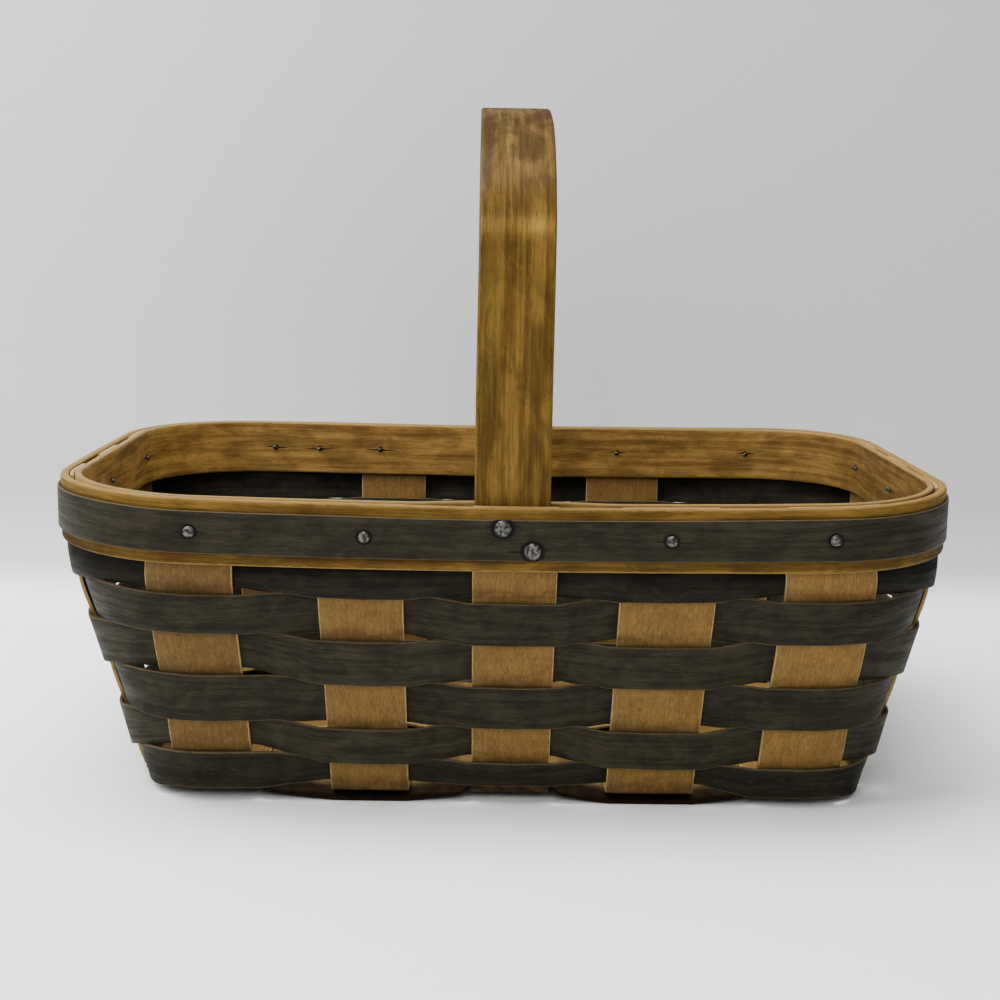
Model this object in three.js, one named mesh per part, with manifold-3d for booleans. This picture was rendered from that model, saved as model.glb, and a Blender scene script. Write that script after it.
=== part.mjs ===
// A small gathering basket of flat wood splints, in millimetres, +Z up.
// The origin is on the ground under the middle of the base. +X runs along the basket and the
// front looks along -Y. Five crosswise and three lengthwise stakes cross in the base and turn
// up into sixteen uprights. Six dyed rows weave round them, two tacked bands hold their tops,
// and a fixed bentwood handle stands between the bands.

import * as THREE from 'three';
import { mergeVertices } from 'three/addons/utils/BufferGeometryUtils.js';
import Module from 'manifold-3d';

const wasm = await Module();
wasm.setup();

// Rim, measured over the outer band.
const RIM_LENGTH = 354;
const RIM_WIDTH = 226;
const RIM_CORNER_RADIUS = 59;
const RIM_HEIGHT = 124.6;
const RIM_DIP_FRONT = 4;
const RIM_DIP_BACK = 1.3;
const BAND_HEIGHT = 25;
const OUTER_BAND_THICKNESS = 3.3;
const INNER_BAND_THICKNESS = 2.8;
const TRIM_HEIGHT = 16;
const TRIM_THICKNESS = 1;
const TRIM_DROP = 4.3;

// Base, measured between the middles of opposite uprights at the ground.
const BASE_LENGTH = 287;
const BASE_WIDTH = 178.4;
const BASE_CORNER_RADIUS = 26;

// How far the left end swells out half way up, where the weaver was pulled less tight.
const LEFT_END_SWELL = 2.2;

// Stakes. Each hand-placed crosswise stake has its own width and sits a little right of an
// even spacing.
const STAKE_THICKNESS = 1.5;
const STAKE_TOP_DROP = 0.5;
const STAKE_BEND_RADIUS = 3;
const STAKE_FLARE_SHARE = 0.06;
const CROSS_STAKE_WIDTHS = [30.4, 30, 29.7, 33.8, 32.3];
const CROSS_STAKE_DRIFTS = [0.5, 4, 2, -0.1, 0.6];
const CROSS_STAKE_MARGIN = 31;
const CROSS_FAN = 0.28;
const LONG_STAKE_WIDTH = 28;
const LONG_STAKE_MARGIN = 39.5;
const LONG_FAN = 0.64;

// Floor: how far a lengthwise strip bows away from each crosswise stake, and the share of the
// stake's width over which it lies flat there.
const FLOOR_CROWN = 1.6;
const FLOOR_CROWN_FLAT_SHARE = 0.5;

// Filler strips that close the floor between the lengthwise stakes.
const FILLER_GAP = 1.6;
const FILLER_WALL_GAP = 1;
const FILLER_END_GAP = 2.5;
const FILLER_END_STEPS = 3;
const FILLER_LEAST_WIDTH = 4;

// Woven rows, from the rim down. The row heights share the wall between bands and floor.
const WEAVER_THICKNESS = 1.2;
const ROW_SHARES = [12.4, 17.4, 18.7, 17.4, 17.6, 9.5];
const ROW_GAP = 1.2;
const ROW_SAG = 0.7;
const CORNER_DROP = 3;

// How far the lower edge of each row is lifted at the front uprights, from left to right.
const ROW_EDGE_LIFTS = [
  [1.2, 1.7, 0, 1.7, 1.1],
  [2.8, 0.5, 0.1, -0.3, 1.5],
  [3.6, 0.9, 0.4, 0.8, 1.1],
  [2, -1.1, 0.3, -1.2, 1.2],
  [5.3, 1.6, 2.2, 0.9, 0.9],
  [-0.9, 0.4, 1.4, 0.4, -2.4],
];
const WEAVER_CROWN = 0.8;

// Handle: a flat hoop whose legs are shaved thin where the bands clamp them.
const HANDLE_WIDTH = 28;
const HANDLE_THICKNESS = 4.6;
const HANDLE_LEG_THICKNESS = 3;
const HANDLE_HEIGHT = 270.1;
const HANDLE_SPRING_HEIGHT = 218.6;
const HANDLE_SHAVE_LENGTH = 22;
const HANDLE_X = 0.9;
const BAND_BOW_RUN = 26;

// Tacks.
const SMALL_TACK = { headRadius: 2.5, headRise: 1.2, shankRadius: 0.7, pointRadius: 1.1 };
const LARGE_TACK = { headRadius: 3.5, headRise: 1.6, shankRadius: 1, pointRadius: 1.5 };
const TACK_POINT_RISE = 0.6;
const TACK_POINT_GAP = 0.9;
const TACK_SHOULDER = { radiusShare: 0.68, riseShare: 0.76 };
const RIM_TACK_SHIFTS = {
  front: [1.3, 2, 0, -0.2, -0.4],
  right: [0, -4.8, 3.1],
  back: [4.4, -6.7, 0, -3.3, 0.8],
  left: [0, -10.3, 3.6],
};
const LAP_TACK_X = -92;
const HANDLE_TACK_SHIFT = 2;
const HANDLE_TACK_SPREAD_X = 5.5;
const HANDLE_TACK_SPREAD_Z = 4.35;

// Gaps kept between neighbouring solids, and a wider one for what weaves or sits on a curve.
const CLEARANCE = 0.3;
const WEAVE_CLEARANCE = 0.45;

// Facets.
const BEND_STEPS = 3;
const BOW_STEPS = 4;
const BOW_STATION_GAP = 1;
const CORNER_STEPS = 4;
const WALL_STEPS = 4;
const ARCH_STEPS = 20;
const TACK_SIDES = 8;
const BORE_SIDES = 6;

// Layers of the rim, as distances from the uprights' middle surface, outward positive.
const bandBottom = RIM_HEIGHT - BAND_HEIGHT;
const outerBandInside = STAKE_THICKNESS / 2 + CLEARANCE;
const outerBandOutside = outerBandInside + OUTER_BAND_THICKNESS;
const trimInside = outerBandOutside + CLEARANCE;
const trimOutside = trimInside + TRIM_THICKNESS;
const innerBandOutside = -outerBandInside;
const innerBandInside = innerBandOutside - INNER_BAND_THICKNESS;
const handleBow = HANDLE_LEG_THICKNESS + CLEARANCE;
const trimTop = RIM_HEIGHT - TRIM_DROP;
const trimBottom = trimTop - TRIM_HEIGHT;
const tackHeight = (trimTop + trimBottom) / 2;

// Layers of the floor: lengthwise strips pass over and under the flat crosswise stakes.
const floorLift = STAKE_THICKNESS + CLEARANCE;
const floorMiddle = floorLift + FLOOR_CROWN + STAKE_THICKNESS / 2;
const floorTop = 2 * floorMiddle;

// The wall's middle surface is a rounded rectangle at each height. It widens up to the bands
// and stands upright behind them.
const baseHalf = { length: BASE_LENGTH / 2, width: BASE_WIDTH / 2, radius: BASE_CORNER_RADIUS };
const rimHalf = {
  length: RIM_LENGTH / 2 - outerBandOutside,
  width: RIM_WIDTH / 2 - outerBandOutside,
  radius: RIM_CORNER_RADIUS - outerBandOutside,
};
const endLean = Math.atan((rimHalf.length - baseHalf.length) / bandBottom);
const sideLean = Math.atan((rimHalf.width - baseHalf.width) / bandBottom);

// A rounded rectangle, walked anticlockwise from the middle of its front.
class Outline {
  constructor(length, width, radius) {
    this.radius = radius;
    this.straightX = length - radius;
    this.straightY = width - radius;
    this.corner = (Math.PI * radius) / 2;
    this.quarter = this.straightX + this.corner + this.straightY;
    this.total = 4 * this.quarter;
  }

  // Distance from the middle of a side to a coordinate along it, which may lie on the corner.
  reach(coordinate, straight) {
    const past = Math.abs(coordinate) - straight;
    if (past <= 0) return coordinate;
    return Math.sign(coordinate) * (straight + this.radius * Math.asin(past / this.radius));
  }

  // Distance walked to a coordinate on one of the four sides.
  locate(side, coordinate) {
    if (side === 'front') return this.reach(coordinate, this.straightX);
    if (side === 'right') return this.quarter + this.reach(coordinate, this.straightY);
    if (side === 'back') return 2 * this.quarter - this.reach(coordinate, this.straightX);
    return 3 * this.quarter - this.reach(coordinate, this.straightY);
  }

  // Position and outward direction after a walked distance.
  at(distance) {
    const walked = THREE.MathUtils.euclideanModulo(distance, this.total);
    const half = Math.floor(walked / (2 * this.quarter));
    const sign = half === 0 ? 1 : -1;
    const along = walked - half * 2 * this.quarter;
    const width = this.straightY + this.radius;
    const length = this.straightX + this.radius;
    let x = along;
    let y = -width;
    let angle = -Math.PI / 2;
    if (along > this.straightX && along < this.straightX + this.corner) {
      angle += (along - this.straightX) / this.radius;
      x = this.straightX + this.radius * Math.cos(angle);
      y = -this.straightY + this.radius * Math.sin(angle);
    } else if (along >= this.straightX + this.corner) {
      const up = along - this.straightX - this.corner - this.straightY;
      angle = 0;
      x = length;
      y = up;
      if (up > this.straightY && up < this.straightY + this.corner) {
        angle = (up - this.straightY) / this.radius;
        x = this.straightX + this.radius * Math.cos(angle);
        y = this.straightY + this.radius * Math.sin(angle);
      } else if (up >= this.straightY + this.corner) {
        angle = Math.PI / 2;
        x = this.straightX - (up - this.straightY - this.corner);
        y = width;
      }
    }
    return {
      x: sign * x,
      y: sign * y,
      out: new THREE.Vector2(sign * Math.cos(angle), sign * Math.sin(angle)),
    };
  }
}

function wallShare(z) {
  return Math.min(z / bandBottom, 1);
}

function wallAt(z) {
  const share = wallShare(z);
  return new Outline(
    THREE.MathUtils.lerp(baseHalf.length, rimHalf.length, share),
    THREE.MathUtils.lerp(baseHalf.width, rimHalf.width, share),
    THREE.MathUtils.lerp(baseHalf.radius, rimHalf.radius, share),
  );
}

function wallPoint(z, distance, offset = 0) {
  const { x, y, out } = wallAt(z).at(distance);
  return new THREE.Vector3(x + out.x * offset, y + out.y * offset, z);
}

// The wall settles in the middle of its long sides, by more towards the rim, and its left end
// swells between floor and bands.
function settled({ x, y, z }) {
  const end = Math.min((2 * x / RIM_LENGTH) ** 2, 1);
  const side = Math.min((2 * y / RIM_WIDTH) ** 2, 1);
  const height = THREE.MathUtils.clamp((z - floorTop) / (RIM_HEIGHT - floorTop), 0, 1);
  const climb = THREE.MathUtils.clamp((z - floorTop) / (bandBottom - floorTop), 0, 1);
  const dip = (y < 0 ? RIM_DIP_FRONT : RIM_DIP_BACK) * (1 - end) * side * height;
  const swell = (x < 0 ? LEFT_END_SWELL : 0) * end * 4 * climb * (1 - climb);
  return new THREE.Vector3(x - swell, y, z - dip);
}

// Uprights, in the order that a weaver meets them.
const middleCross = (CROSS_STAKE_WIDTHS.length - 1) / 2;
const crossPitch = (baseHalf.length - CROSS_STAKE_MARGIN) / middleCross;
const crossStakes = CROSS_STAKE_WIDTHS.map((width, index) => ({
  centre: (index - middleCross) * crossPitch + CROSS_STAKE_DRIFTS[index],
  width,
}));
const longPitch = baseHalf.width - LONG_STAKE_MARGIN;
const longPlaces = ['front', 'middle', 'back'];
const longStakes = longPlaces.map((place, index) => ({
  centre: (index - 1) * longPitch,
  width: LONG_STAKE_WIDTH,
}));
const uprights = [
  ...crossStakes.map((stake) => ({ side: 'front', ...stake })),
  ...longStakes.map((stake) => ({ side: 'right', ...stake })),
  ...crossStakes.toReversed().map((stake) => ({ side: 'back', ...stake })),
  ...longStakes.toReversed().map((stake) => ({ side: 'left', ...stake })),
];
const crossSpread = CROSS_FAN * (rimHalf.length / baseHalf.length - 1);
const longSpread = LONG_FAN * (rimHalf.width / baseHalf.width - 1);

function isCrosswise({ side }) {
  return side === 'front' || side === 'back';
}

// Which stake an upright belongs to, counted from -X or from -Y.
function orderOf(upright) {
  const stakes = isCrosswise(upright) ? crossStakes : longStakes;
  return stakes.findIndex(({ centre }) => centre === upright.centre);
}

// Place across an upright at a height: part is -1 at one edge, 0 in the middle, 1 at the other.
function acrossUpright({ side, centre, width }, z, part) {
  const share = wallShare(z);
  const spread = isCrosswise({ side }) ? crossSpread : longSpread;
  const flare = 1 + STAKE_FLARE_SHARE * share;
  return centre * (1 + spread * share) + (part * width * flare) / 2;
}

function distanceTo(upright, z, part) {
  return wallAt(z).locate(upright.side, acrossUpright(upright, z, part));
}

// Stations round the wall: both edges and the middle of each upright, and steps between them.
// A station's side is 1 where a row passes outside its upright, and -1 where it passes inside.
const stations = [];
uprights.forEach((upright, index) => {
  const next = uprights[(index + 1) % uprights.length];
  const steps = upright.side === next.side ? 1 : CORNER_STEPS;
  const turn = index % 2 === 0 ? 1 : -1;
  for (const part of [-1, 0, 1]) {
    stations.push({ upright, part: walkPart(upright, part), swing: turn, crown: part === 0 ? 1 : 0 });
  }
  for (let step = 1; step <= steps; step += 1) {
    const share = step / (steps + 1);
    stations.push({ upright, next, share, swing: turn * Math.cos(Math.PI * share), crown: 0 });
  }
});

// The back and left sides are walked against their coordinate, so their edges swap.
function walkPart({ side }, part) {
  return side === 'front' || side === 'right' ? part : -part;
}

function stationDistance({ upright, part, next, share }, z) {
  if (!next) return distanceTo(upright, z, part);
  const from = distanceTo(upright, z, walkPart(upright, 1));
  let to = distanceTo(next, z, walkPart(next, -1));
  if (to < from) to += wallAt(z).total;
  return THREE.MathUtils.lerp(from, to, share);
}

// A closed body from a grid of points on its middle surface, thickened to both sides.
// Rows of the grid run along the strip and each row's points run across it.
function sheet(plainGrid, thickness, closed) {
  const grid = plainGrid.map((row) => row.map(settled));
  const rows = grid.length;
  const across = grid[0].length;
  const thicknessAt = typeof thickness === 'function' ? thickness : () => thickness;
  const positions = [];
  const unit = (from, to) => to.clone().sub(from).normalize();
  grid.forEach((row, k) => {
    const before = grid[closed ? (k - 1 + rows) % rows : Math.max(k - 1, 0)];
    const after = grid[closed ? (k + 1) % rows : Math.min(k + 1, rows - 1)];
    row.forEach((point, m) => {
      const along = unit(before[m], point).add(unit(point, after[m]));
      const sideways = unit(row[Math.max(m - 1, 0)], row[Math.min(m + 1, across - 1)]);
      const normal = along.cross(sideways).normalize().multiplyScalar(thicknessAt(k) / 2);
      positions.push(point.clone().add(normal), point.clone().sub(normal));
    });
  });
  const index = [];
  const vertex = (k, m, face) => ((k % rows) * across + m) * 2 + face;
  const quad = (a, b, c, d) => index.push(a, b, c, a, c, d);
  for (let k = 0; k < (closed ? rows : rows - 1); k += 1) {
    for (let m = 0; m < across - 1; m += 1) {
      quad(vertex(k, m, 0), vertex(k + 1, m, 0), vertex(k + 1, m + 1, 0), vertex(k, m + 1, 0));
      quad(vertex(k, m, 1), vertex(k, m + 1, 1), vertex(k + 1, m + 1, 1), vertex(k + 1, m, 1));
    }
    const last = across - 1;
    quad(vertex(k, 0, 1), vertex(k + 1, 0, 1), vertex(k + 1, 0, 0), vertex(k, 0, 0));
    quad(vertex(k, last, 0), vertex(k + 1, last, 0), vertex(k + 1, last, 1), vertex(k, last, 1));
  }
  if (!closed) {
    for (let m = 0; m < across - 1; m += 1) {
      quad(vertex(0, m, 1), vertex(0, m, 0), vertex(0, m + 1, 0), vertex(0, m + 1, 1));
      const end = rows - 1;
      quad(vertex(end, m, 0), vertex(end, m, 1), vertex(end, m + 1, 1), vertex(end, m + 1, 0));
    }
  }
  const geometry = new THREE.BufferGeometry().setFromPoints(positions);
  geometry.setIndex(index);
  return facingOut(geometry);
}

// The same geometry with its triangles wound so that the enclosed volume is positive.
function facingOut(geometry) {
  const { index } = geometry;
  const position = geometry.getAttribute('position');
  const corner = (i) => new THREE.Vector3().fromBufferAttribute(position, index.getX(i));
  let volume = 0;
  for (let i = 0; i < index.count; i += 3) {
    volume += corner(i).dot(corner(i + 1).cross(corner(i + 2)));
  }
  if (volume < 0) geometry.setIndex(Array.from(index.array).reverse());
  return geometry;
}

function toSolid(geometry) {
  const bare = geometry.clone();
  bare.deleteAttribute('normal');
  bare.deleteAttribute('uv');
  const merged = mergeVertices(bare);
  return new wasm.Manifold(new wasm.Mesh({
    numProp: 3,
    vertProperties: new Float32Array(merged.getAttribute('position').array),
    triVerts: new Uint32Array(merged.index.array),
  }));
}

function toGeometry(solid) {
  const mesh = solid.getMesh();
  const geometry = new THREE.BufferGeometry();
  geometry.setAttribute('position', new THREE.BufferAttribute(mesh.vertProperties, mesh.numProp));
  geometry.setIndex(new THREE.BufferAttribute(mesh.triVerts, 1));
  return geometry;
}

// Tacks: where each one enters the rim, which upright it pins and how deep the rim is there.
function tackAt(name, upright, coordinate, z, kind, depth) {
  const outline = wallAt(z);
  const { x, y, out } = outline.at(outline.locate(upright.side, coordinate));
  return { name, upright, kind, depth, out, origin: settled({ x, y, z }) };
}

const plainDepth = -innerBandInside;
const tacks = [];
uprights.forEach((upright, index) => {
  const place = acrossUpright(upright, tackHeight, 0);
  const crosswise = isCrosswise(upright);
  const order = orderOf(upright);
  if (crosswise && order === middleCross) {
    for (const turn of [-1, 1]) {
      const x = HANDLE_X + HANDLE_TACK_SHIFT + turn * HANDLE_TACK_SPREAD_X;
      const z = tackHeight - turn * HANDLE_TACK_SPREAD_Z;
      const name = `handle_tack_${upright.side}_${turn < 0 ? 'upper' : 'lower'}`;
      tacks.push(tackAt(name, upright, x, z, LARGE_TACK, plainDepth + handleBow));
    }
    return;
  }
  const shift = RIM_TACK_SHIFTS[upright.side][order];
  const name = `rim_tack_${String(index + 1).padStart(2, '0')}`;
  tacks.push(tackAt(name, upright, place + shift, tackHeight, SMALL_TACK, plainDepth));
});

// One more tack pins only the bands, where the ends of the outer one lap.
const lapName = `rim_tack_${uprights.length + 1}`;
tacks.push(tackAt(lapName, { side: 'back' }, LAP_TACK_X, tackHeight, SMALL_TACK, plainDepth));

// Cuts a clearance bore through a geometry for each tack given.
function bored(geometry, piercing) {
  let solid = toSolid(geometry);
  for (const { kind, depth, out, origin } of piercing) {
    const radius = (kind.shankRadius + CLEARANCE) / Math.cos(Math.PI / BORE_SIDES);
    const length = 2 * (depth + trimOutside);
    const drill = new THREE.CylinderGeometry(radius, radius, length, BORE_SIDES);
    drill.applyQuaternion(turnedTo(out));
    drill.translate(origin.x, origin.y, origin.z);
    solid = solid.subtract(toSolid(drill));
  }
  return toGeometry(solid);
}

function turnedTo(out) {
  const up = new THREE.Vector3(0, 1, 0);
  return new THREE.Quaternion().setFromUnitVectors(up, new THREE.Vector3(out.x, out.y, 0));
}

function tackGeometry({ kind, depth }) {
  const seat = trimOutside + CLEARANCE;
  const inner = -depth - TACK_POINT_GAP;
  const profile = [
    [0, inner - TACK_POINT_RISE],
    [kind.pointRadius, inner],
    [kind.shankRadius, inner],
    [kind.shankRadius, seat],
    [kind.headRadius, seat],
    [kind.headRadius * TACK_SHOULDER.radiusShare, seat + kind.headRise * TACK_SHOULDER.riseShare],
    [0, seat + kind.headRise],
  ];
  return new THREE.LatheGeometry(profile.map(([r, h]) => new THREE.Vector2(r, h)), TACK_SIDES);
}

// One upright's middle surface from the top down to its bend, as rows across its width.
function uprightRows(upright) {
  const low = floorMiddle + bendReach(upright.side) * Math.cos(leanOf(upright.side));
  const heights = [RIM_HEIGHT - STAKE_TOP_DROP, bandBottom];
  for (let step = 1; step <= WALL_STEPS; step += 1) {
    heights.push(THREE.MathUtils.lerp(bandBottom, low, step / WALL_STEPS));
  }
  return heights.map((z) => [-1, 0, 1].map((part) => wallPoint(z, distanceTo(upright, z, part))));
}

function leanOf(side) {
  return isCrosswise({ side }) ? sideLean : endLean;
}

// Length that the bend takes off the wall and off the floor.
function bendReach(side) {
  return STAKE_BEND_RADIUS * Math.tan((Math.PI / 2 - leanOf(side)) / 2);
}

// The round bend from the wall's last row to the floor, without that last row.
function bendRows(upright, wallRow) {
  const inward = new THREE.Vector3();
  if (upright.side === 'front') inward.y = 1;
  if (upright.side === 'back') inward.y = -1;
  if (upright.side === 'right') inward.x = -1;
  if (upright.side === 'left') inward.x = 1;
  const reach = bendReach(upright.side);
  const rows = [];
  for (let step = 1; step <= BEND_STEPS; step += 1) {
    const share = step / BEND_STEPS;
    rows.push([-1, 0, 1].map((part, m) => {
      const corner = wallPoint(floorMiddle, distanceTo(upright, floorMiddle, part));
      const flat = corner.clone().addScaledVector(inward, reach);
      return new THREE.QuadraticBezierCurve3(wallRow[m], corner, flat).getPoint(share);
    }));
  }
  return rows;
}

function stakeEnd(upright) {
  const wall = uprightRows(upright);
  return [...wall, ...bendRows(upright, wall[wall.length - 1])];
}

// Height of a lengthwise strip over or under a crosswise stake.
function floorLevel(strip, cross, crown) {
  return floorMiddle + ((strip + cross) % 2 === 0 ? 1 : -1) * (floorLift + crown);
}

// Parts across a crosswise stake where a strip has its rows, and how far it bows there.
const crownRows = [
  { part: -1, crown: 0 },
  { part: -FLOOR_CROWN_FLAT_SHARE, crown: FLOOR_CROWN },
  { part: FLOOR_CROWN_FLAT_SHARE, crown: FLOOR_CROWN },
  { part: 1, crown: 0 },
];

// Rows of a lengthwise strip's floor run, from -X to +X. The function given tells its places
// across the floor at a distance along it.
function floorRows(strip, placesAt) {
  return crossStakes.flatMap(({ centre, width }, cross) => crownRows.map(({ part, crown }) => {
    const x = centre + (part * width) / 2;
    return placesAt(x).map((y) => new THREE.Vector3(x, y, floorLevel(strip, cross, crown)));
  }));
}

function tacksOf(...ends) {
  return tacks.filter(({ upright }) => ends.includes(upright));
}

function crossStakeGeometry(index) {
  const front = uprights[index];
  const back = uprights.find(({ side, centre }) => side === 'back' && centre === front.centre);
  const grid = [...stakeEnd(front), ...stakeEnd(back).reverse()];
  return bored(sheet(grid, STAKE_THICKNESS, false), tacksOf(front, back));
}

function longStakeGeometry(index) {
  const { centre, width } = longStakes[index];
  const right = uprights.find((one) => one.side === 'right' && one.centre === centre);
  const left = uprights.find((one) => one.side === 'left' && one.centre === centre);
  const places = [-1, 0, 1].map((part) => centre + (part * width) / 2);
  const strip = 2 * index + 1;
  const floor = floorRows(strip, () => places);
  const grid = [...stakeEnd(left), ...floor, ...stakeEnd(right).reverse()];
  return bored(sheet(grid, STAKE_THICKNESS, false), tacksOf(left, right));
}

// Fillers lie between the lengthwise stakes and outside the outer two, where they follow the
// bend of the wall.
const floorOutline = wallAt(floorMiddle);
const fillerRadius = floorOutline.radius - bendReach('front') - FILLER_WALL_GAP;
const fillerEnd = floorOutline.straightX + fillerRadius - FILLER_END_GAP;
const outerFillerEdge = longPitch + LONG_STAKE_WIDTH / 2 + FILLER_GAP;
const innerFillerEdge = LONG_STAKE_WIDTH / 2 + FILLER_GAP;

// Half width of the floor inside the bend, at a distance along the basket.
function floorReach(x) {
  const past = Math.max(Math.abs(x) - floorOutline.straightX, 0);
  return floorOutline.straightY + Math.sqrt(fillerRadius ** 2 - past ** 2);
}

const fillers = [
  { name: 'filler_front', strip: 0, edges: (x) => [-floorReach(x), -outerFillerEdge] },
  {
    name: 'filler_mid_front',
    strip: 2,
    edges: () => [innerFillerEdge - longPitch, -innerFillerEdge],
  },
  { name: 'filler_mid_back', strip: 4, edges: () => [innerFillerEdge, longPitch - innerFillerEdge] },
  { name: 'filler_back', strip: 6, edges: (x) => [outerFillerEdge, floorReach(x)] },
].filter(({ edges }) => edges(0)[1] - edges(0)[0] > FILLER_LEAST_WIDTH);

function fillerGeometry({ strip, edges }) {
  const rows = floorRows(strip, edges);
  const endRows = (row, end) => {
    const from = row[0];
    const steps = [];
    for (let step = 1; step <= FILLER_END_STEPS; step += 1) {
      const x = THREE.MathUtils.lerp(from.x, end, step / FILLER_END_STEPS);
      steps.push(edges(x).map((y) => new THREE.Vector3(x, y, from.z)));
    }
    return steps;
  };
  const left = endRows(rows[0], -fillerEnd).reverse();
  const right = endRows(rows[rows.length - 1], fillerEnd);
  return sheet([...left, ...rows, ...right], STAKE_THICKNESS, false);
}

// A woven row between two heights. It swings from one side of an upright to the other side of
// the next, crowns over each one, and sags a little where it passes outside.
const rowSwing = ((STAKE_THICKNESS + WEAVER_THICKNESS) / 2 + WEAVE_CLEARANCE) / Math.cos(endLean);

function rowGeometry(row, top, bottom) {
  const turn = row % 2 === 0 ? -1 : 1;
  const grid = stations.map((station) => {
    const side = turn * station.swing;
    const offset = side * (rowSwing + station.crown * WEAVER_CROWN);
    const edge = (height, border) => {
      const z = height + (border < 0 ? 0 : edgeLift(station, border) - side * ROW_SAG);
      return wallPoint(z, stationDistance(station, z), offset);
    };
    return [edge(bottom, row), edge(top, row - 1)];
  });
  return sheet(grid, WEAVER_THICKNESS, true);
}

// Lift of a row's lower edge at a station. The lowest edge also drops at the corners.
function edgeLift({ upright, next, share }, row) {
  const at = (one) => (one.side === 'front' ? ROW_EDGE_LIFTS[row][orderOf(one)] : 0);
  if (!next) return at(upright);
  const isCorner = upright.side !== next.side && row === ROW_SHARES.length - 1;
  const drop = isCorner ? CORNER_DROP * Math.sin(Math.PI * share) : 0;
  return THREE.MathUtils.lerp(at(upright), at(next), share) - drop;
}

// A plain ring round the rim between two heights, at a distance from the middle surface.
function ringGeometry(bottom, top, inside, outside, bow = () => 0) {
  const middle = (inside + outside) / 2;
  const grid = ringPlaces().map((distance) => [bottom, top].map((z) => (
    wallPoint(RIM_HEIGHT, distance, middle - bow(distance)).setZ(z)
  )));
  return bored(sheet(grid, outside - inside, true), tacks);
}

// Walked distances of a ring's stations, with more of them where it bows round the handle.
function ringPlaces() {
  const outline = wallAt(RIM_HEIGHT);
  const flat = HANDLE_WIDTH / 2 + CLEARANCE;
  const legSteps = [];
  for (let step = 0; step <= BOW_STEPS; step += 1) {
    const reach = flat + (step / BOW_STEPS) * BAND_BOW_RUN;
    legSteps.push(-reach, reach);
  }
  const near = flat + BAND_BOW_RUN + BOW_STATION_GAP;
  const legPlaces = ['front', 'back'].flatMap((side) => (
    legSteps.map((step) => outline.locate(side, HANDLE_X + step))
  ));
  const plain = stations.map((station) => stationDistance(station, RIM_HEIGHT));
  const clear = plain.filter((distance) => legDistance(distance) > near);
  return [...clear, ...legPlaces]
    .map((distance) => THREE.MathUtils.euclideanModulo(distance, outline.total))
    .sort((a, b) => a - b);
}

// How far along the rim a place is from the nearer handle leg.
function legDistance(distance) {
  const outline = wallAt(RIM_HEIGHT);
  const { x, y } = outline.at(distance);
  const onLongSide = Math.abs(y) > outline.straightY;
  return onLongSide ? Math.abs(x - HANDLE_X) : Infinity;
}

// The inner band bows inward round each leg of the handle.
function innerBow(distance) {
  const past = legDistance(distance) - HANDLE_WIDTH / 2 - CLEARANCE;
  return handleBow * (1 - THREE.MathUtils.smoothstep(past, 0, BAND_BOW_RUN));
}

// The handle's outer face runs up inside the uprights and over a half ellipse.
function handleGeometry() {
  const face = rimHalf.width - outerBandInside;
  const legBottom = bandBottom + CLEARANCE;
  const rise = HANDLE_HEIGHT - HANDLE_SPRING_HEIGHT;
  const shaved = RIM_HEIGHT + HANDLE_SHAVE_LENGTH;
  const leg = [
    [legBottom, HANDLE_LEG_THICKNESS],
    [RIM_HEIGHT, HANDLE_LEG_THICKNESS],
    [shaved, HANDLE_THICKNESS],
  ];
  const half = leg.map(([z, thickness]) => ({ y: -face, z, thickness, out: [-1, 0] }));
  const arch = [];
  for (let step = 0; step <= ARCH_STEPS; step += 1) {
    const angle = Math.PI * (1 - step / ARCH_STEPS);
    const out = new THREE.Vector2(Math.cos(angle) / face, Math.sin(angle) / rise).normalize();
    arch.push({
      y: face * Math.cos(angle),
      z: HANDLE_SPRING_HEIGHT + rise * Math.sin(angle),
      thickness: HANDLE_THICKNESS,
      out: [out.x, out.y],
    });
  }
  const back = half.toReversed().map((one) => ({ ...one, y: face, out: [1, 0] }));
  const path = [...half, ...arch, ...back];
  const grid = path.map(({ y, z, thickness, out }) => [-1, 1].map((edge) => new THREE.Vector3(
    HANDLE_X + (edge * HANDLE_WIDTH) / 2,
    y - (out[0] * thickness) / 2,
    z - (out[1] * thickness) / 2,
  )));
  const handleTacks = tacks.filter(({ kind }) => kind === LARGE_TACK);
  return bored(sheet(grid, (k) => path[k].thickness, false), handleTacks);
}

const finishes = {
  stake: { color: 0xb08c50, roughness: 0.62 },
  filler: { color: 0xbd9d66, roughness: 0.66 },
  weaver: { color: 0x3a3830, roughness: 0.78 },
  band: { color: 0xa57c40, roughness: 0.55 },
  handle: { color: 0x8f6330, roughness: 0.5 },
  tack: { color: 0x8d8d8a, roughness: 0.4, metalness: 0.85 },
};

const basket = new THREE.Group();

function addPart(name, geometry, finish) {
  const mesh = new THREE.Mesh(geometry, new THREE.MeshStandardMaterial(finishes[finish]));
  mesh.name = name;
  basket.add(mesh);
  return mesh;
}

crossStakes.forEach((stake, index) => {
  addPart(`cross_stake_${index + 1}`, crossStakeGeometry(index), 'stake');
});

longPlaces.forEach((place, index) => {
  addPart(`long_stake_${place}`, longStakeGeometry(index), 'stake');
});

fillers.forEach((filler) => {
  addPart(filler.name, fillerGeometry(filler), 'filler');
});

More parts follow.
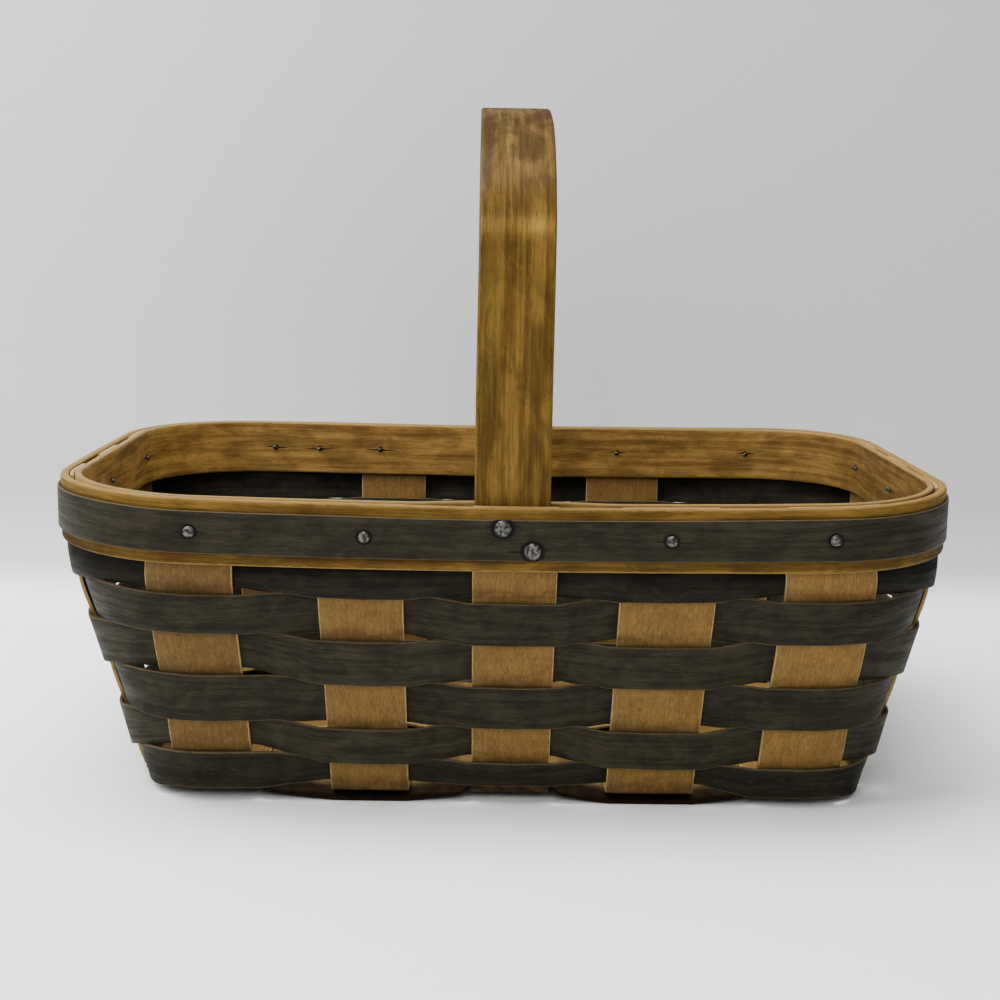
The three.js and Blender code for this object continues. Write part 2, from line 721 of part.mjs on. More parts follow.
const rowsTop = bandBottom - WEAVE_CLEARANCE;
const bendTop = floorMiddle + bendReach('front') + STAKE_THICKNESS / 2;
const rowsBottom = bendTop + CLEARANCE - ROW_SAG;
const shareTotal = ROW_SHARES.reduce((sum, share) => sum + share, 0);
let rowTop = rowsTop;
ROW_SHARES.forEach((share, index) => {
  const rowBottom = rowTop - (share / shareTotal) * (rowsTop - rowsBottom);
  const top = index === 0 ? rowTop : rowTop - ROW_GAP / 2;
  const bottom = index === ROW_SHARES.length - 1 ? rowBottom : rowBottom + ROW_GAP / 2;
  addPart(`weaver_row_${index + 1}`, rowGeometry(index, top, bottom), 'weaver');
  rowTop = rowBottom;
});

addPart('outer_band', ringGeometry(bandBottom, RIM_HEIGHT, outerBandInside, outerBandOutside), 'band');
addPart(
  'inner_band',
  ringGeometry(bandBottom, RIM_HEIGHT, innerBandInside, innerBandOutside, innerBow),
  'band',
);
addPart('trim_strip', ringGeometry(trimBottom, trimTop, trimInside, trimOutside), 'weaver');
addPart('handle', handleGeometry(), 'handle');

tacks.forEach((tack) => {
  const mesh = addPart(tack.name, tackGeometry(tack), 'tack');
  mesh.quaternion.copy(turnedTo(tack.out));
  mesh.position.copy(tack.origin);
});

export default basket;
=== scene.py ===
"""A gathering basket of flat wood splints with one fixed bentwood handle.

Every splint is cut as a straight flat blank, eased along its edges, and then bent along its course
on the basket's wall, as the maker does. The origin is on the ground under the middle of the base,
+X runs along the basket and the front looks along -Y.
"""

import math

import bmesh
import bpy
import numpy as np
from bpy.props import FloatProperty, FloatVectorProperty, PointerProperty
from mathutils import Matrix, Vector, noise


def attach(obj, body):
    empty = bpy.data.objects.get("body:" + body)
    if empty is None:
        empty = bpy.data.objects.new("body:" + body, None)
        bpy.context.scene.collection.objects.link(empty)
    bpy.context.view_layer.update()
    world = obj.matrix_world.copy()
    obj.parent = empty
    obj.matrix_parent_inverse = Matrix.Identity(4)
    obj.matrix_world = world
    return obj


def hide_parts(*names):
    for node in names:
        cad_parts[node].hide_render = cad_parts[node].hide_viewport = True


bl_info = {
    "name": "Gathering Basket",
    "version": (1, 0, 0),
    "blender": (4, 5, 0),
    "location": "3D View > Sidebar > Basket",
    "description": "Weaves a gathering basket over its solids and sets it on a pale floor",
    "category": "Add Mesh",
}

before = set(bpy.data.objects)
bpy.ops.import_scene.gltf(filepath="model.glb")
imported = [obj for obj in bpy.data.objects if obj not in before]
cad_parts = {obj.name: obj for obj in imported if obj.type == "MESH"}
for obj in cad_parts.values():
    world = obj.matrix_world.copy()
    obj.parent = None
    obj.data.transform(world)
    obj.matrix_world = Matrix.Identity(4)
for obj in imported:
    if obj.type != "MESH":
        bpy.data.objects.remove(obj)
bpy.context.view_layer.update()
MM = 0.001
SIDES = ("front", "right", "back", "left")
LONG_PLACES = ("front", "middle", "back")
EASE = 0.25 * MM            # rounding of a splint's cut edges
UPRIGHTS = 16               # all round the wall
FRONT_UPRIGHTS = 5
ROW_STARTS = (11, 8, 10, 9, 12, 11)  # the uprights where the rows' ends are hidden
CORNER_GAPS = (4, 7, 12, 15)    # the gaps between uprights that lie in the corners
HALF_UPRIGHT = 0.3          # half an upright, as a share of the way to the next one's middle
STAKE_TONES = (-0.15, 0.6, 0.75, 0.9, 1.15)     # how light each splint is
ROW_TONES = (-0.7, 0.4, 0.9, 0.5, 1.3, -0.3)
TACK_STAIN = (0.0018, 0.0014, 0.001)    # colour of the wood that a tack's iron has blackened
FANS = (0.28, 0.64)         # how much of the wall's spread the uprights share, along X and Y
GRAIN_SHIFTS = (2.3, 1.7)   # moves the grain by a splint's tone, so that no two splints match
MARK_REACH = 14 * MM        # from a tack to where its marks end
MARKED_HEAD = 2.5 * MM      # radius of the head that the marks are drawn for


# Sizes and colours

def number(name, default, description, **kind):
    return FloatProperty(name=name, default=default, description=description, **kind)


def length(name, default, description):
    return number(name, default, description, unit="LENGTH", precision=4)


def lengths(name, default, description):
    return FloatVectorProperty(name=name, default=default, description=description,
                               size=len(default), unit="LENGTH", precision=4)


def angle(name, degrees, description):
    return number(name, math.radians(degrees), description, subtype="ANGLE")


def power(name, default, description):
    return number(name, default, description, unit="POWER")


def colour(name, default, description):
    return FloatVectorProperty(name=name, default=default, description=description,
                               subtype="COLOR", size=3, min=0.0, max=1.0)


def clip(value):
    return min(max(value, 0.0), 1.0)


def smooth(share):
    """A share from 0 to 1 that starts and ends gently."""
    return share * share * (3 - 2 * share)


class BasketSizes(bpy.types.PropertyGroup):
    rim_length: length("Rim length", 0.354, "Over the outer band")
    rim_width: length("Rim width", 0.226, "Over the outer band")
    rim_radius: length("Rim corner radius", 0.059, "Of the outer band's outside")
    rim_height: length("Rim height", 0.1246, "Ground to the top of the bands")
    rim_dip_front: length("Front dip", 0.004, "How far the front of the rim settles")
    rim_dip_back: length("Back dip", 0.0013, "How far the back of the rim settles")
    end_swell: length("End swell", 0.0024, "How far the ends swell under the rim")
    end_tuck: length("Right end tuck", 0.004, "How far the rim's right end is drawn in")
    base_length: length("Base length", 0.287, "Between the middles of the end uprights")
    base_width: length("Base width", 0.1784, "Between the middles of the side uprights")
    base_radius: length("Base corner radius", 0.026, "Of the wall at the ground")
    band_height: length("Band height", 0.025, "Of both rim bands")
    outer_band: length("Outer band thickness", 0.0033, "Thickness of the outer band")
    inner_band: length("Inner band thickness", 0.0028, "Thickness of the inner band")
    trim_height: length("Trim height", 0.016, "Of the dyed strip round the outer band")
    trim_thickness: length("Trim thickness", 0.001, "Of the dyed strip")
    trim_drop: length("Trim drop", 0.0043, "From the top of the bands to the strip")
    handle_width: length("Handle width", 0.028, "Across the hoop")
    handle_thickness: length("Handle thickness", 0.0046, "Of the hoop above the rim")
    handle_leg: length("Handle leg thickness", 0.003, "Where the bands clamp the legs")
    handle_height: length("Handle height", 0.2701, "Ground to the top of the hoop")
    handle_spring: length("Handle spring height", 0.2186, "Where the hoop starts to curve")
    handle_x: length("Handle place", 0.0009, "Distance right of the middle")


class SplintSizes(bpy.types.PropertyGroup):
    stake_thickness: length("Stake thickness", 0.0015, "Of the bare stakes")
    cross_widths: lengths("Crosswise widths", (0.0304, 0.03, 0.0297, 0.0338, 0.0323),
                          "Width of each crosswise stake, from left to right")
    cross_drifts: lengths("Crosswise drifts", (0.0005, 0.004, 0.002, -0.0001, 0.0006),
                          "How far each crosswise stake sits right of an even spacing")
    cross_margin: length("Crosswise margin", 0.031, "From the base's end to the outer stakes")
    long_width: length("Lengthwise width", 0.028, "Width of the lengthwise stakes")
    long_margin: length("Lengthwise margin", 0.0395, "From the base's side to the outer stakes")
    weaver_thickness: length("Weaver thickness", 0.0012, "Of the dyed rows")
    row_shares: FloatVectorProperty(
        name="Row heights", size=6, default=(12.4, 17.4, 18.7, 17.4, 17.6, 9.5),
        description="Share of the wall that each row takes, from the rim down")
    row_sag: length("Row sag", 0.0011, "How far a row drops where it passes outside")
    row_lifts: lengths(
        "Row edge lifts",
        (0.0012, 0.0017, 0.0, 0.0017, 0.0011, 0.0028, 0.0005, 0.0001, -0.0003, 0.0015,
         0.0036, 0.0009, 0.0004, 0.0008, 0.0011, 0.002, -0.0011, 0.0003, -0.0012, 0.0012,
         0.0053, 0.0016, 0.0022, 0.0009, 0.0009, -0.0009, 0.0004, 0.0014, 0.0004, -0.0024),
        "Lift of each row's lower edge at the five front uprights, row by row")
    corner_drop: length("Corner drop", 0.003, "How far the lowest row drops at the corners")
    floor_crown: length("Floor crown", 0.0016, "How far a floor strip bows from each stake")
    crown: length("Crown", 0.0008, "How far a row bows over an upright")
    stake_wave: length("Stake wave", 0.00035, "How far the rows push the uprights in and out")


class TackSizes(bpy.types.PropertyGroup):
    small_radius: length("Small head radius", 0.0022, "Of the tacks round the rim")
    large_radius: length("Large head radius", 0.0032, "Of the tacks through the handle")
    shifts: lengths("Tack shifts",
                    (0.0013, 0.002, 0.0, -0.0002, -0.0004, 0.0, -0.0048, 0.0031,
                     0.0008, -0.0033, 0.0, -0.0067, 0.0044, 0.0036, -0.0103, 0.0),
                    "How far each tack sits from its upright's middle, towards +X or +Y")
    lap_x: length("Lap tack place", -0.092, "Of the tack that pins only the bands, at the back")
    pair_shift: length("Handle pair place", 0.002, "How far the pair sits right of the handle")
    pair_x: length("Handle pair half spread", 0.0055, "Across the handle")
    pair_z: length("Handle pair half height", 0.00435, "Along the handle")


class BasketColours(bpy.types.PropertyGroup):
    stake: colour("Stakes", (0.125, 0.07, 0.0158), "Bare splint")
    stake_dark: colour("Stake grain", (0.106, 0.057, 0.0122), "Darker grain of the bare splint")
    filler: colour("Floor splints", (0.15, 0.098, 0.034), "Paler splint of the floor")
    filler_dark: colour("Floor grain", (0.125, 0.078, 0.025), "Darker grain of the floor")
    band: colour("Bands", (0.155, 0.088, 0.0165), "Rim bands")
    band_dark: colour("Band grain", (0.078, 0.041, 0.0076), "Darker grain of the bands")
    lining: colour("Inner band", (0.23, 0.132, 0.033), "Inner rim band")
    lining_dark: colour("Inner band grain", (0.12, 0.064, 0.015), "Darker grain of the inner band")
    handle: colour("Handle", (0.131, 0.077, 0.0155), "Hoop")
    handle_dark: colour("Handle grain", (0.07, 0.038, 0.0076), "Darker grain of the hoop")
    cut: colour("Cut edges", (0.3, 0.195, 0.076), "Pale edges where the wood was cut")
    rim_cut: colour("Band edges", (0.19, 0.115, 0.033), "Cut edges of the rim bands")
    dye: colour("Dyed splint", (0.0113, 0.0095, 0.0049), "Grey-black dye")
    dye_light: colour("Dyed grain", (0.018, 0.0152, 0.0079), "Where the dye has worn thin")
    dye_worn: colour("Worn fibres", (0.055, 0.045, 0.026), "Fibres that the dye has left")
    dye_cut: colour("Dyed splint edges", (0.075, 0.053, 0.027), "Edges of the dyed splints")
    # Dark colour for real dirt on the handle, and for painted shade in the creases, under the trim
    # and bands, and at the floor's edges
    grime_and_shade: colour("Grime", (0.021, 0.0105, 0.0042), "Dirt in the creases and on the handle")
    iron: colour("Tacks", (0.098, 0.094, 0.085), "Dull iron")
    floor: colour("Floor", (0.88, 0.89, 0.87), "Paper that the basket stands on")
    backdrop: colour("Backdrop", (0.46, 0.465, 0.46), "Paper behind the basket")


class StageSizes(bpy.types.PropertyGroup):
    camera_x: length("Camera X", -0.0091, "Along the basket")
    camera_y: length("Camera Y", -0.688, "Across the basket")
    camera_z: length("Camera Z", 0.2212, "Above the floor")
    camera_pitch: angle("Camera pitch", 9.636, "Tilt down from level")
    camera_yaw: angle("Camera yaw", 0.524, "Turn towards +X")
    camera_roll: angle("Camera roll", 0.93, "Roll about the line of sight")
    camera_lens: number("Lens", 57.7, "Focal length on a 36 mm sensor", unit="CAMERA")
    floor_reach: length("Floor reach", 1.6, "Half size of the paper on the floor")
    backdrop_y: length("Backdrop place", 0.262, "Where the paper turns up behind the basket")
    sweep_radius: length("Sweep radius", 0.06, "Of the paper's turn from floor to backdrop")
    overhead_power: power("Overhead light", 84.0, "Power of the large light above")
    side_power: power("Side light", 2.5, "Power of the light from the left on the backdrop")
    front_power: power("Front light", 9.5, "Power of the fill in front")
    sky_strength: number("Surrounding light", 0.28, "Strength of the even light all round")


# The wall's surface

class Outline:
    """A rounded rectangle, walked anticlockwise from the middle of its front."""

    def __init__(self, half_length, half_width, radius):
        self.radius = radius
        self.straight_x = half_length - radius
        self.straight_y = half_width - radius
        self.corner = math.pi / 2 * radius
        self.quarter = self.straight_x + self.corner + self.straight_y
        self.total = 4 * self.quarter

    def reach(self, coordinate, straight):
        past = abs(coordinate) - straight
        if past <= 0:
            return coordinate
        return math.copysign(straight + self.radius * math.asin(past / self.radius), coordinate)

    def locate(self, side, coordinate):
        """Distance walked to a coordinate on one of the four sides."""
        if side == "front":
            return self.reach(coordinate, self.straight_x)
        if side == "right":
            return self.quarter + self.reach(coordinate, self.straight_y)
        if side == "back":
            return 2 * self.quarter - self.reach(coordinate, self.straight_x)
        return 3 * self.quarter - self.reach(coordinate, self.straight_y)

    def at(self, distance):
        """Place and outward direction after a walked distance."""
        half, along = divmod(distance % self.total, 2 * self.quarter)
        sign = 1 if half == 0 else -1
        along -= self.straight_x
        if along <= 0:
            x, y, turn = along + self.straight_x, -self.straight_y - self.radius, -math.pi / 2
        elif along < self.corner:
            turn = along / self.radius - math.pi / 2
            x = self.straight_x + self.radius * math.cos(turn)
            y = -self.straight_y + self.radius * math.sin(turn)
        elif along <= self.corner + 2 * self.straight_y:
            x, turn = self.straight_x + self.radius, 0.0
            y = along - self.corner - self.straight_y
        elif along < 2 * self.corner + 2 * self.straight_y:
            turn = (along - self.corner - 2 * self.straight_y) / self.radius
            x = self.straight_x + self.radius * math.cos(turn)
            y = self.straight_y + self.radius * math.sin(turn)
        else:
            x = self.straight_x - (along - 2 * self.corner - 2 * self.straight_y)
            y, turn = self.straight_y + self.radius, math.pi / 2
        return sign * x, sign * y, sign * math.cos(turn), sign * math.sin(turn)


class Wall:
    """The middle surface of the uprights: it widens up to the bands and then stands upright."""

    clearance = 0.3 * MM
    weave_clearance = 0.45 * MM
    row_foot = 0.35 * MM    # from the floor's bend up to the lowest row
    bend_radius = 3 * MM
    stake_fan = 0.06        # share by which an upright is wider at the bands than at the ground
    swell_scale = 12.2      # brings the curve of the ends' swell to a height of one
    tuck_start = 0.78       # share of the half length where the right end starts to tuck in

    def __init__(self, basket, splints):
        self.basket, self.splints = basket, splints
        stake = splints.stake_thickness
        self.band_bottom = basket.rim_height - basket.band_height
        self.band_inside = stake / 2 + self.clearance
        self.band_outside = self.band_inside + basket.outer_band
        self.trim_inside = self.band_outside + self.clearance
        self.trim_outside = self.trim_inside + basket.trim_thickness
        self.lining = self.band_inside + basket.inner_band
        self.bow = basket.handle_leg + self.clearance
        self.base = (basket.base_length / 2, basket.base_width / 2, basket.base_radius)
        self.rim = (basket.rim_length / 2 - self.band_outside,
                    basket.rim_width / 2 - self.band_outside,
                    basket.rim_radius - self.band_outside)
        self.lift = stake + self.clearance
        self.floor_middle = self.lift + splints.floor_crown + stake / 2
        self.floor_top = 2 * self.floor_middle
        self.end_lean = math.atan((self.rim[0] - self.base[0]) / self.band_bottom)
        self.side_lean = math.atan((self.rim[1] - self.base[1]) / self.band_bottom)
        self.outlines = {}
        self.uprights = self.place_uprights()
        self.row_edges = self.share_rows()

    def climb(self, z):
        return min(z / self.band_bottom, 1.0)

    def outline(self, z):
        key = round(z, 6)
        if key not in self.outlines:
            k = self.climb(z)
            sizes = [low + (high - low) * k for low, high in zip(self.base, self.rim)]
            self.outlines[key] = Outline(*sizes)
        return self.outlines[key]

    def settled(self, x, y, z):
        """The long sides settle in their middles, the ends swell and the right one tucks in."""
        basket = self.basket
        end = min((2 * x / basket.rim_length) ** 2, 1.0)
        side = min((2 * y / basket.rim_width) ** 2, 1.0)
        rise = clip((z - self.floor_top) / (basket.rim_height - self.floor_top))
        climb = clip((z - self.floor_top) / (self.band_bottom - self.floor_top))
        dip = basket.rim_dip_front if y < 0 else basket.rim_dip_back
        swell = basket.end_swell * end * self.swell_scale * climb ** 4 * (1 - climb)
        if x > 0:
            past = max(2 * x / basket.rim_length - self.tuck_start, 0.0) / (1 - self.tuck_start)
            swell = basket.end_tuck * past ** 1.5 * climb ** 0.7 - swell
        return Vector((x - swell, y, z - dip * (1 - end) * side * rise))

    def point(self, z, distance, offset=0.0, height=None):
        x, y, out_x, out_y = self.outline(z).at(distance)
        return self.settled(x + out_x * offset, y + out_y * offset, z if height is None else height)

    def place_uprights(self):
        """The sixteen uprights in the order that a weaver meets them."""
        splints = self.splints
        middle = (len(splints.cross_widths) - 1) / 2
        pitch = (self.base[0] - splints.cross_margin) / middle
        cross = [((index - middle) * pitch + drift, width) for index, (drift, width)
                 in enumerate(zip(splints.cross_drifts, splints.cross_widths))]
        reach = self.base[1] - splints.long_margin
        long = [(step * reach, splints.long_width) for step in (-1, 0, 1)]
        self.cross, self.long = cross, long
        order = {"front": cross, "right": long, "back": cross[::-1], "left": long[::-1]}
        return [(side, centre, width) for side in SIDES for centre, width in order[side]]

    def upright(self, side, centre):
        """Index of the upright on a side whose stake has that centre."""
        return next(index for index, (place, middle, _) in enumerate(self.uprights)
                    if place == side and middle == centre)

    def fanned(self, side, centre, k=1.0):
        """Where an upright's middle stands on its side after a share of the wall's climb."""
        axis = 0 if side in ("front", "back") else 1
        return centre * (1 + FANS[axis] * (self.rim[axis] / self.base[axis] - 1) * k)

    def distance(self, index, z, part):
        """Walked distance to a place across an upright, -1 to 1 in walking order."""
        side, centre, width = self.uprights[index % UPRIGHTS]
        k = self.climb(z)
        turn = part if side in ("front", "right") else -part
        coordinate = self.fanned(side, centre, k) + turn * width * (1 + self.stake_fan * k) / 2
        return self.outline(z).locate(side, coordinate)

    def walked(self, place, z):
        """Distance and swing at a walking place: whole numbers are the uprights' middles."""
        index = math.floor(place)
        part = place - index
        turn = 1 if index % 2 == 0 else -1
        if part <= HALF_UPRIGHT:
            part /= HALF_UPRIGHT
            return self.distance(index, z, part), turn * self.crowned(part)
        if part >= 1 - HALF_UPRIGHT:
            part = (part - 1) / HALF_UPRIGHT
            return self.distance(index + 1, z, part), -turn * self.crowned(part)
        start = self.distance(index, z, 1)
        end = self.distance(index + 1, z, -1)
        if end < start:
            end += self.outline(z).total
        gap = (part - HALF_UPRIGHT) / (1 - 2 * HALF_UPRIGHT)
        return start + (end - start) * gap, turn * math.cos(math.pi * gap)

    def crowned(self, part):
        """A row's swing over an upright, a little more than one in its middle."""
        bow = self.splints.crown / self.swing
        return 1 + bow * math.cos(math.pi * part / 2) ** 2

    @property
    def swing(self):
        splints = self.splints
        reach = (splints.stake_thickness + splints.weaver_thickness) / 2 + self.weave_clearance
        return reach / math.cos(self.end_lean)

    def share_rows(self):
        """Heights between the rows, from the bands down to the floor's bend."""
        shares = list(self.splints.row_shares)
        top = self.band_bottom - self.weave_clearance
        bottom = self.floor_middle + self.bend_reach("front")[0] + self.row_foot
        edges = [top]
        for one in shares:
            edges.append(edges[-1] - one / sum(shares) * (top - bottom))
        return edges

    def row_edge(self, edge, place):
        """Height of the border above or below a row at a walking place."""
        if edge == 0:
            return self.row_edges[0]
        index = math.floor(place)
        lifts = self.splints.row_lifts[FRONT_UPRIGHTS * (edge - 1):FRONT_UPRIGHTS * edge]
        start, end = [lifts[k % UPRIGHTS] if k % UPRIGHTS < FRONT_UPRIGHTS else 0.0
                      for k in (index, index + 1)]
        part = clip((place - index - HALF_UPRIGHT) / (1 - 2 * HALF_UPRIGHT))
        lift = start + (end - start) * smooth(part)
        if edge == len(self.row_edges) - 1 and index % UPRIGHTS in CORNER_GAPS:
            lift -= self.splints.corner_drop * math.sin(math.pi * part)
        return self.row_edges[edge] + lift

    def pushed(self, index, z):
        """How far the rows push an upright out at a height."""
        edges = [self.row_edge(edge, index) for edge in range(len(self.row_edges))]
        if z >= edges[0] or z <= edges[-1]:
            return 0.0
        row = next(k for k in range(len(edges) - 1) if z >= edges[k + 1])
        along = (edges[row] - z) / (edges[row] - edges[row + 1])
        outside = (row + index) % 2 == 1
        return (-1 if outside else 1) * self.splints.stake_wave * math.sin(math.pi * along)

    def bend_reach(self, side):
        lean = self.side_lean if side in ("front", "back") else self.end_lean
        return self.bend_radius * math.tan((math.pi / 2 - lean) / 2), lean


def drift(x, y, seed, size):
    """A small hand-made unevenness, the same on every run."""
    return noise.noise(Vector((x, y, seed))) * size


# Cutting and bending splints

def cut_blank(run, width, thickness, ease, spans, across, closed):
    """A straight flat blank, eased along its cut edges. A ring's blank has open ends."""
    mesh = bmesh.new()
    bmesh.ops.create_grid(mesh, x_segments=spans, y_segments=across, size=0.5)
    bmesh.ops.scale(mesh, vec=(run, width, 1), verts=mesh.verts)
    bmesh.ops.solidify(mesh, geom=mesh.faces[:], thickness=thickness)
    heights = [vert.co.z for vert in mesh.verts]
    middle = (max(heights) + min(heights)) / 2
    bmesh.ops.translate(mesh, vec=(0, 0, -middle), verts=mesh.verts)
    if closed:
        ends = [face for face in mesh.faces
                if all(abs(abs(vert.co.x) - run / 2) < 1e-7 for vert in face.verts)]
        bmesh.ops.delete(mesh, geom=ends, context="FACES_ONLY")
    sharp = [edge for edge in mesh.edges
             if len(edge.link_faces) == 2 and edge.calc_face_angle() > 1]
    bmesh.ops.bevel(mesh, geom=sharp, offset=ease, offset_type="OFFSET", segments=2,
                    profile=0.5, affect="EDGES", material=-1, clamp_overlap=True)
    bmesh.ops.recalc_face_normals(mesh, faces=mesh.faces[:])
    return mesh


def bend_splint(name, course, width, thickness, ease, across, tone, grime_and_shade, closed=False,
                nails=None, thick=None, painted_light_and_shade=None):
    """A splint cut as a flat blank and then bent along a course.

    The course is a list of stations, each a function from a place across the splint (-0.5 to 0.5)
    to a point of its middle surface. The corners and vertices keep what the finishes read: the
    grain's run, the distance to the cut edge, the tone with its painted light and shade, the dirt
    and painted shade, and the nearest tack.
    """
    stations = len(course)
    spans = stations if closed else stations - 1
    places = np.linspace(-0.5, 0.5, across + 1)
    surface = np.array([[station(v) for v in places] for station in course])
    if closed:
        surface = np.concatenate([surface, surface[:1]])
    step = np.linalg.norm(np.diff(surface[:, across // 2], axis=0), axis=1)
    run = np.concatenate([[0.0], np.cumsum(step)])
    normals = surface_normals(surface, closed)

    mesh = cut_blank(run[-1], width, thickness, ease, spans, across, closed)
    layers = {key: mesh.verts.layers.float.new(key) for key in ("edge", "tone", "grime_and_shade")}
    nail_layer = mesh.loops.layers.float_vector.new("nail")
    grain = mesh.loops.layers.uv.new("grain")
    verts = list(mesh.verts)
    mesh.verts.index_update()
    flat = np.array([vert.co for vert in verts])
    along = np.interp(flat[:, 0] / run[-1] + 0.5, np.linspace(0, 1, spans + 1),
                      np.arange(spans + 1))
    side = np.clip((flat[:, 1] / width + 0.5) * across, 0, across)
    point = blended(surface, along, side)
    normal = blended(normals, along, side)
    normal /= np.linalg.norm(normal, axis=1)[:, None]
    layer = np.ones(len(flat)) if thick is None else np.interp(along, np.arange(stations), thick)
    bent = point + normal * (flat[:, 2] * layer)[:, None]
    travelled = np.interp(along, np.arange(spans + 1), run)
    edge = width / 2 - np.abs(flat[:, 1])
    if not closed:
        edge = np.minimum(edge, run[-1] / 2 - np.abs(flat[:, 0]))

    for index, vert in enumerate(verts):
        vert.co = Vector(bent[index])
        vert[layers["edge"]] = edge[index] * 1000
        vert[layers["tone"]] = tone + (painted_light_and_shade(vert.co) if painted_light_and_shade else 0.0)
        vert[layers["grime_and_shade"]] = grime_and_shade(vert.co) if grime_and_shade else 0.0
    for face in mesh.faces:
        nail = nearest(face.calc_center_median(), nails) if nails else None
        for loop in face.loops:
            index = loop.vert.index
            loop[grain].uv = (travelled[index] + GRAIN_SHIFTS[0] * tone,
                              flat[index, 1] + GRAIN_SHIFTS[1] * tone)
            loop[nail_layer] = offset_from(loop.vert.co, nail)
    if closed:
        bmesh.ops.remove_doubles(mesh, verts=mesh.verts[:], dist=1e-6)
    bmesh.ops.recalc_face_normals(mesh, faces=mesh.faces[:])
    return finished(name, mesh)


def surface_normals(surface, closed):
    """Unit normals of a grid of points, pointing left of its run."""
    if closed:
        after = np.roll(surface[:-1], -1, axis=0)
        before = np.roll(surface[:-1], 1, axis=0)
        along = after - before
        along = np.concatenate([along, along[:1]])
    else:
        along = np.gradient(surface, axis=0)
    across = np.gradient(surface, axis=1)
    normals = np.cross(along, across)
    return normals / np.linalg.norm(normals, axis=2)[:, :, None]


def blended(grid, along, side):
    """Values of a grid between its points."""
    i = np.minimum(along.astype(int), grid.shape[0] - 2)
    j = np.minimum(side.astype(int), grid.shape[1] - 2)
    s = (along - i)[:, None]
    t = (side - j)[:, None]
    low = grid[i, j] * (1 - t) + grid[i, j + 1] * t
    high = grid[i + 1, j] * (1 - t) + grid[i + 1, j + 1] * t
    return low * (1 - s) + high * s


def nearest(point, nails):
    """The tack nearest to a place, if it is near enough to leave a mark there."""
    found = min(nails, key=lambda nail: (point - nail["place"]).length_squared)
    return found if (point - found["place"]).length < MARK_REACH else None


def offset_from(point, nail):
    """Distance along the rim and up from a tack, scaled to one size of head, or far off."""
    if nail is None:
        return Vector((0, 0.1, 0))
    gap = (point - nail["place"]) * (MARKED_HEAD / nail["radius"])
    out_x, out_y = nail["out"]
    return Vector((gap.y * out_x - gap.x * out_y, gap.z, 0))


def finished(name, mesh):
    """Turns the worked mesh into a smooth object at the origin."""
    data = bpy.data.meshes.new(name)
    mesh.to_mesh(data)
    mesh.free()
    data.shade_smooth()
    piece = bpy.data.objects.new(name, data)
    bpy.context.collection.objects.link(piece)
    return piece


def dress(piece, material, slot, *nodes):
    """Gives a piece its finish and lets it stand for its solids."""
    piece.data.materials.append(material)
    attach(piece, "root")
    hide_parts(*nodes)
    return piece


# Courses that the splints follow

def upright_course(wall, index):
    """Stations down one upright from its top, round the bend to the floor."""
    side = wall.uprights[index][0]
    inward = {"front": (0, 1), "back": (0, -1), "right": (-1, 0), "left": (1, 0)}[side]
    reach, lean = wall.bend_reach(side)
    flip = -1 if side in ("back", "left") else 1
    top, ground = wall.basket.rim_height - 0.5 * MM, wall.floor_middle
    low = ground + reach * math.cos(lean)

    def on_wall(z):
        def station(v):
            part = 2 * v * flip
            return wall.point(z, wall.distance(index, z, part), wall.pushed(index, z))
        return station

    def on_bend(k):
        def station(v):
            part = 2 * v * flip
            start = wall.point(low, wall.distance(index, low, part))
            corner = wall.point(ground, wall.distance(index, ground, part))
            end = corner + Vector((*inward, 0)) * reach
            return start * (1 - k) ** 2 + corner * 2 * k * (1 - k) + end * k * k
        return station

    straight, bend = 56, 6
    course = [on_wall(top + (low - top) * k / straight) for k in range(straight + 1)]
    return course + [on_bend(k / bend) for k in range(1, bend + 1)]


def floor_level(wall, strip, x):
    """Height of a lengthwise strip as it bows over and under the crosswise stakes."""
    places, levels = [], []
    for cross, (centre, width) in enumerate(wall.cross):
        side = 1 if (strip + cross) % 2 == 0 else -1
        for part, crown in ((-1, 0), (-0.5, 1), (0.5, 1), (1, 0)):
            places.append(centre + part * width / 2)
            levels.append(side * (wall.lift + crown * wall.splints.floor_crown))
    near = [x + step * MM for step in (-2, -1, 0, 1, 2)]
    return wall.floor_middle + float(np.mean(np.interp(near, places, levels)))


def floor_course(wall, strip, edges, reach=0.0):
    """Stations along the floor, from -X to +X, between the two edges that a function tells."""
    first, last = wall.cross[0], wall.cross[-1]
    start = min(first[0] - first[1] / 2, -reach)
    end = max(last[0] + last[1] / 2, reach)

    def station_at(x):
        z = floor_level(wall, strip, x)
        low, high = edges(x)
        return lambda v: Vector((x, low + (high - low) * (v + 0.5), z))

    count = 150
    return [station_at(start + (end - start) * k / count) for k in range(count + 1)]


def eased_between(before, after, count):
    """Stations that carry one end of a course smoothly on to another."""
    def station_at(k):
        def station(v):
            start, end = before(v), after(v)
            point = start.lerp(end, k)
            point.z = start.z + (end.z - start.z) * smooth(k)
            return point
        return station
    return [station_at(k / count) for k in range(1, count)]


# Dirt, painted shade and painted highlights, each a function from a point to an amount

def ramp(start, width):
    """A function that climbs from 0 to 1 over a width, or falls where the width is negative."""
    return lambda value: clip((value - start) / width)


def floor_edge_shade_mask(wall):
    """Painted shade on the outer edges of the floor, which sit in shadow near the ground."""
    rise = ramp(-12 * MM, 5 * MM)
    return lambda point: rise(max(abs(place) - half for place, half in zip(point.xy, wall.base)))


def edge_shade(wall):
    """Painted shade: a darker tone at the outer edges of the floor, where they sit in shadow."""
    darkening = floor_edge_shade_mask(wall)
    return lambda point: -2.1 * darkening(point)


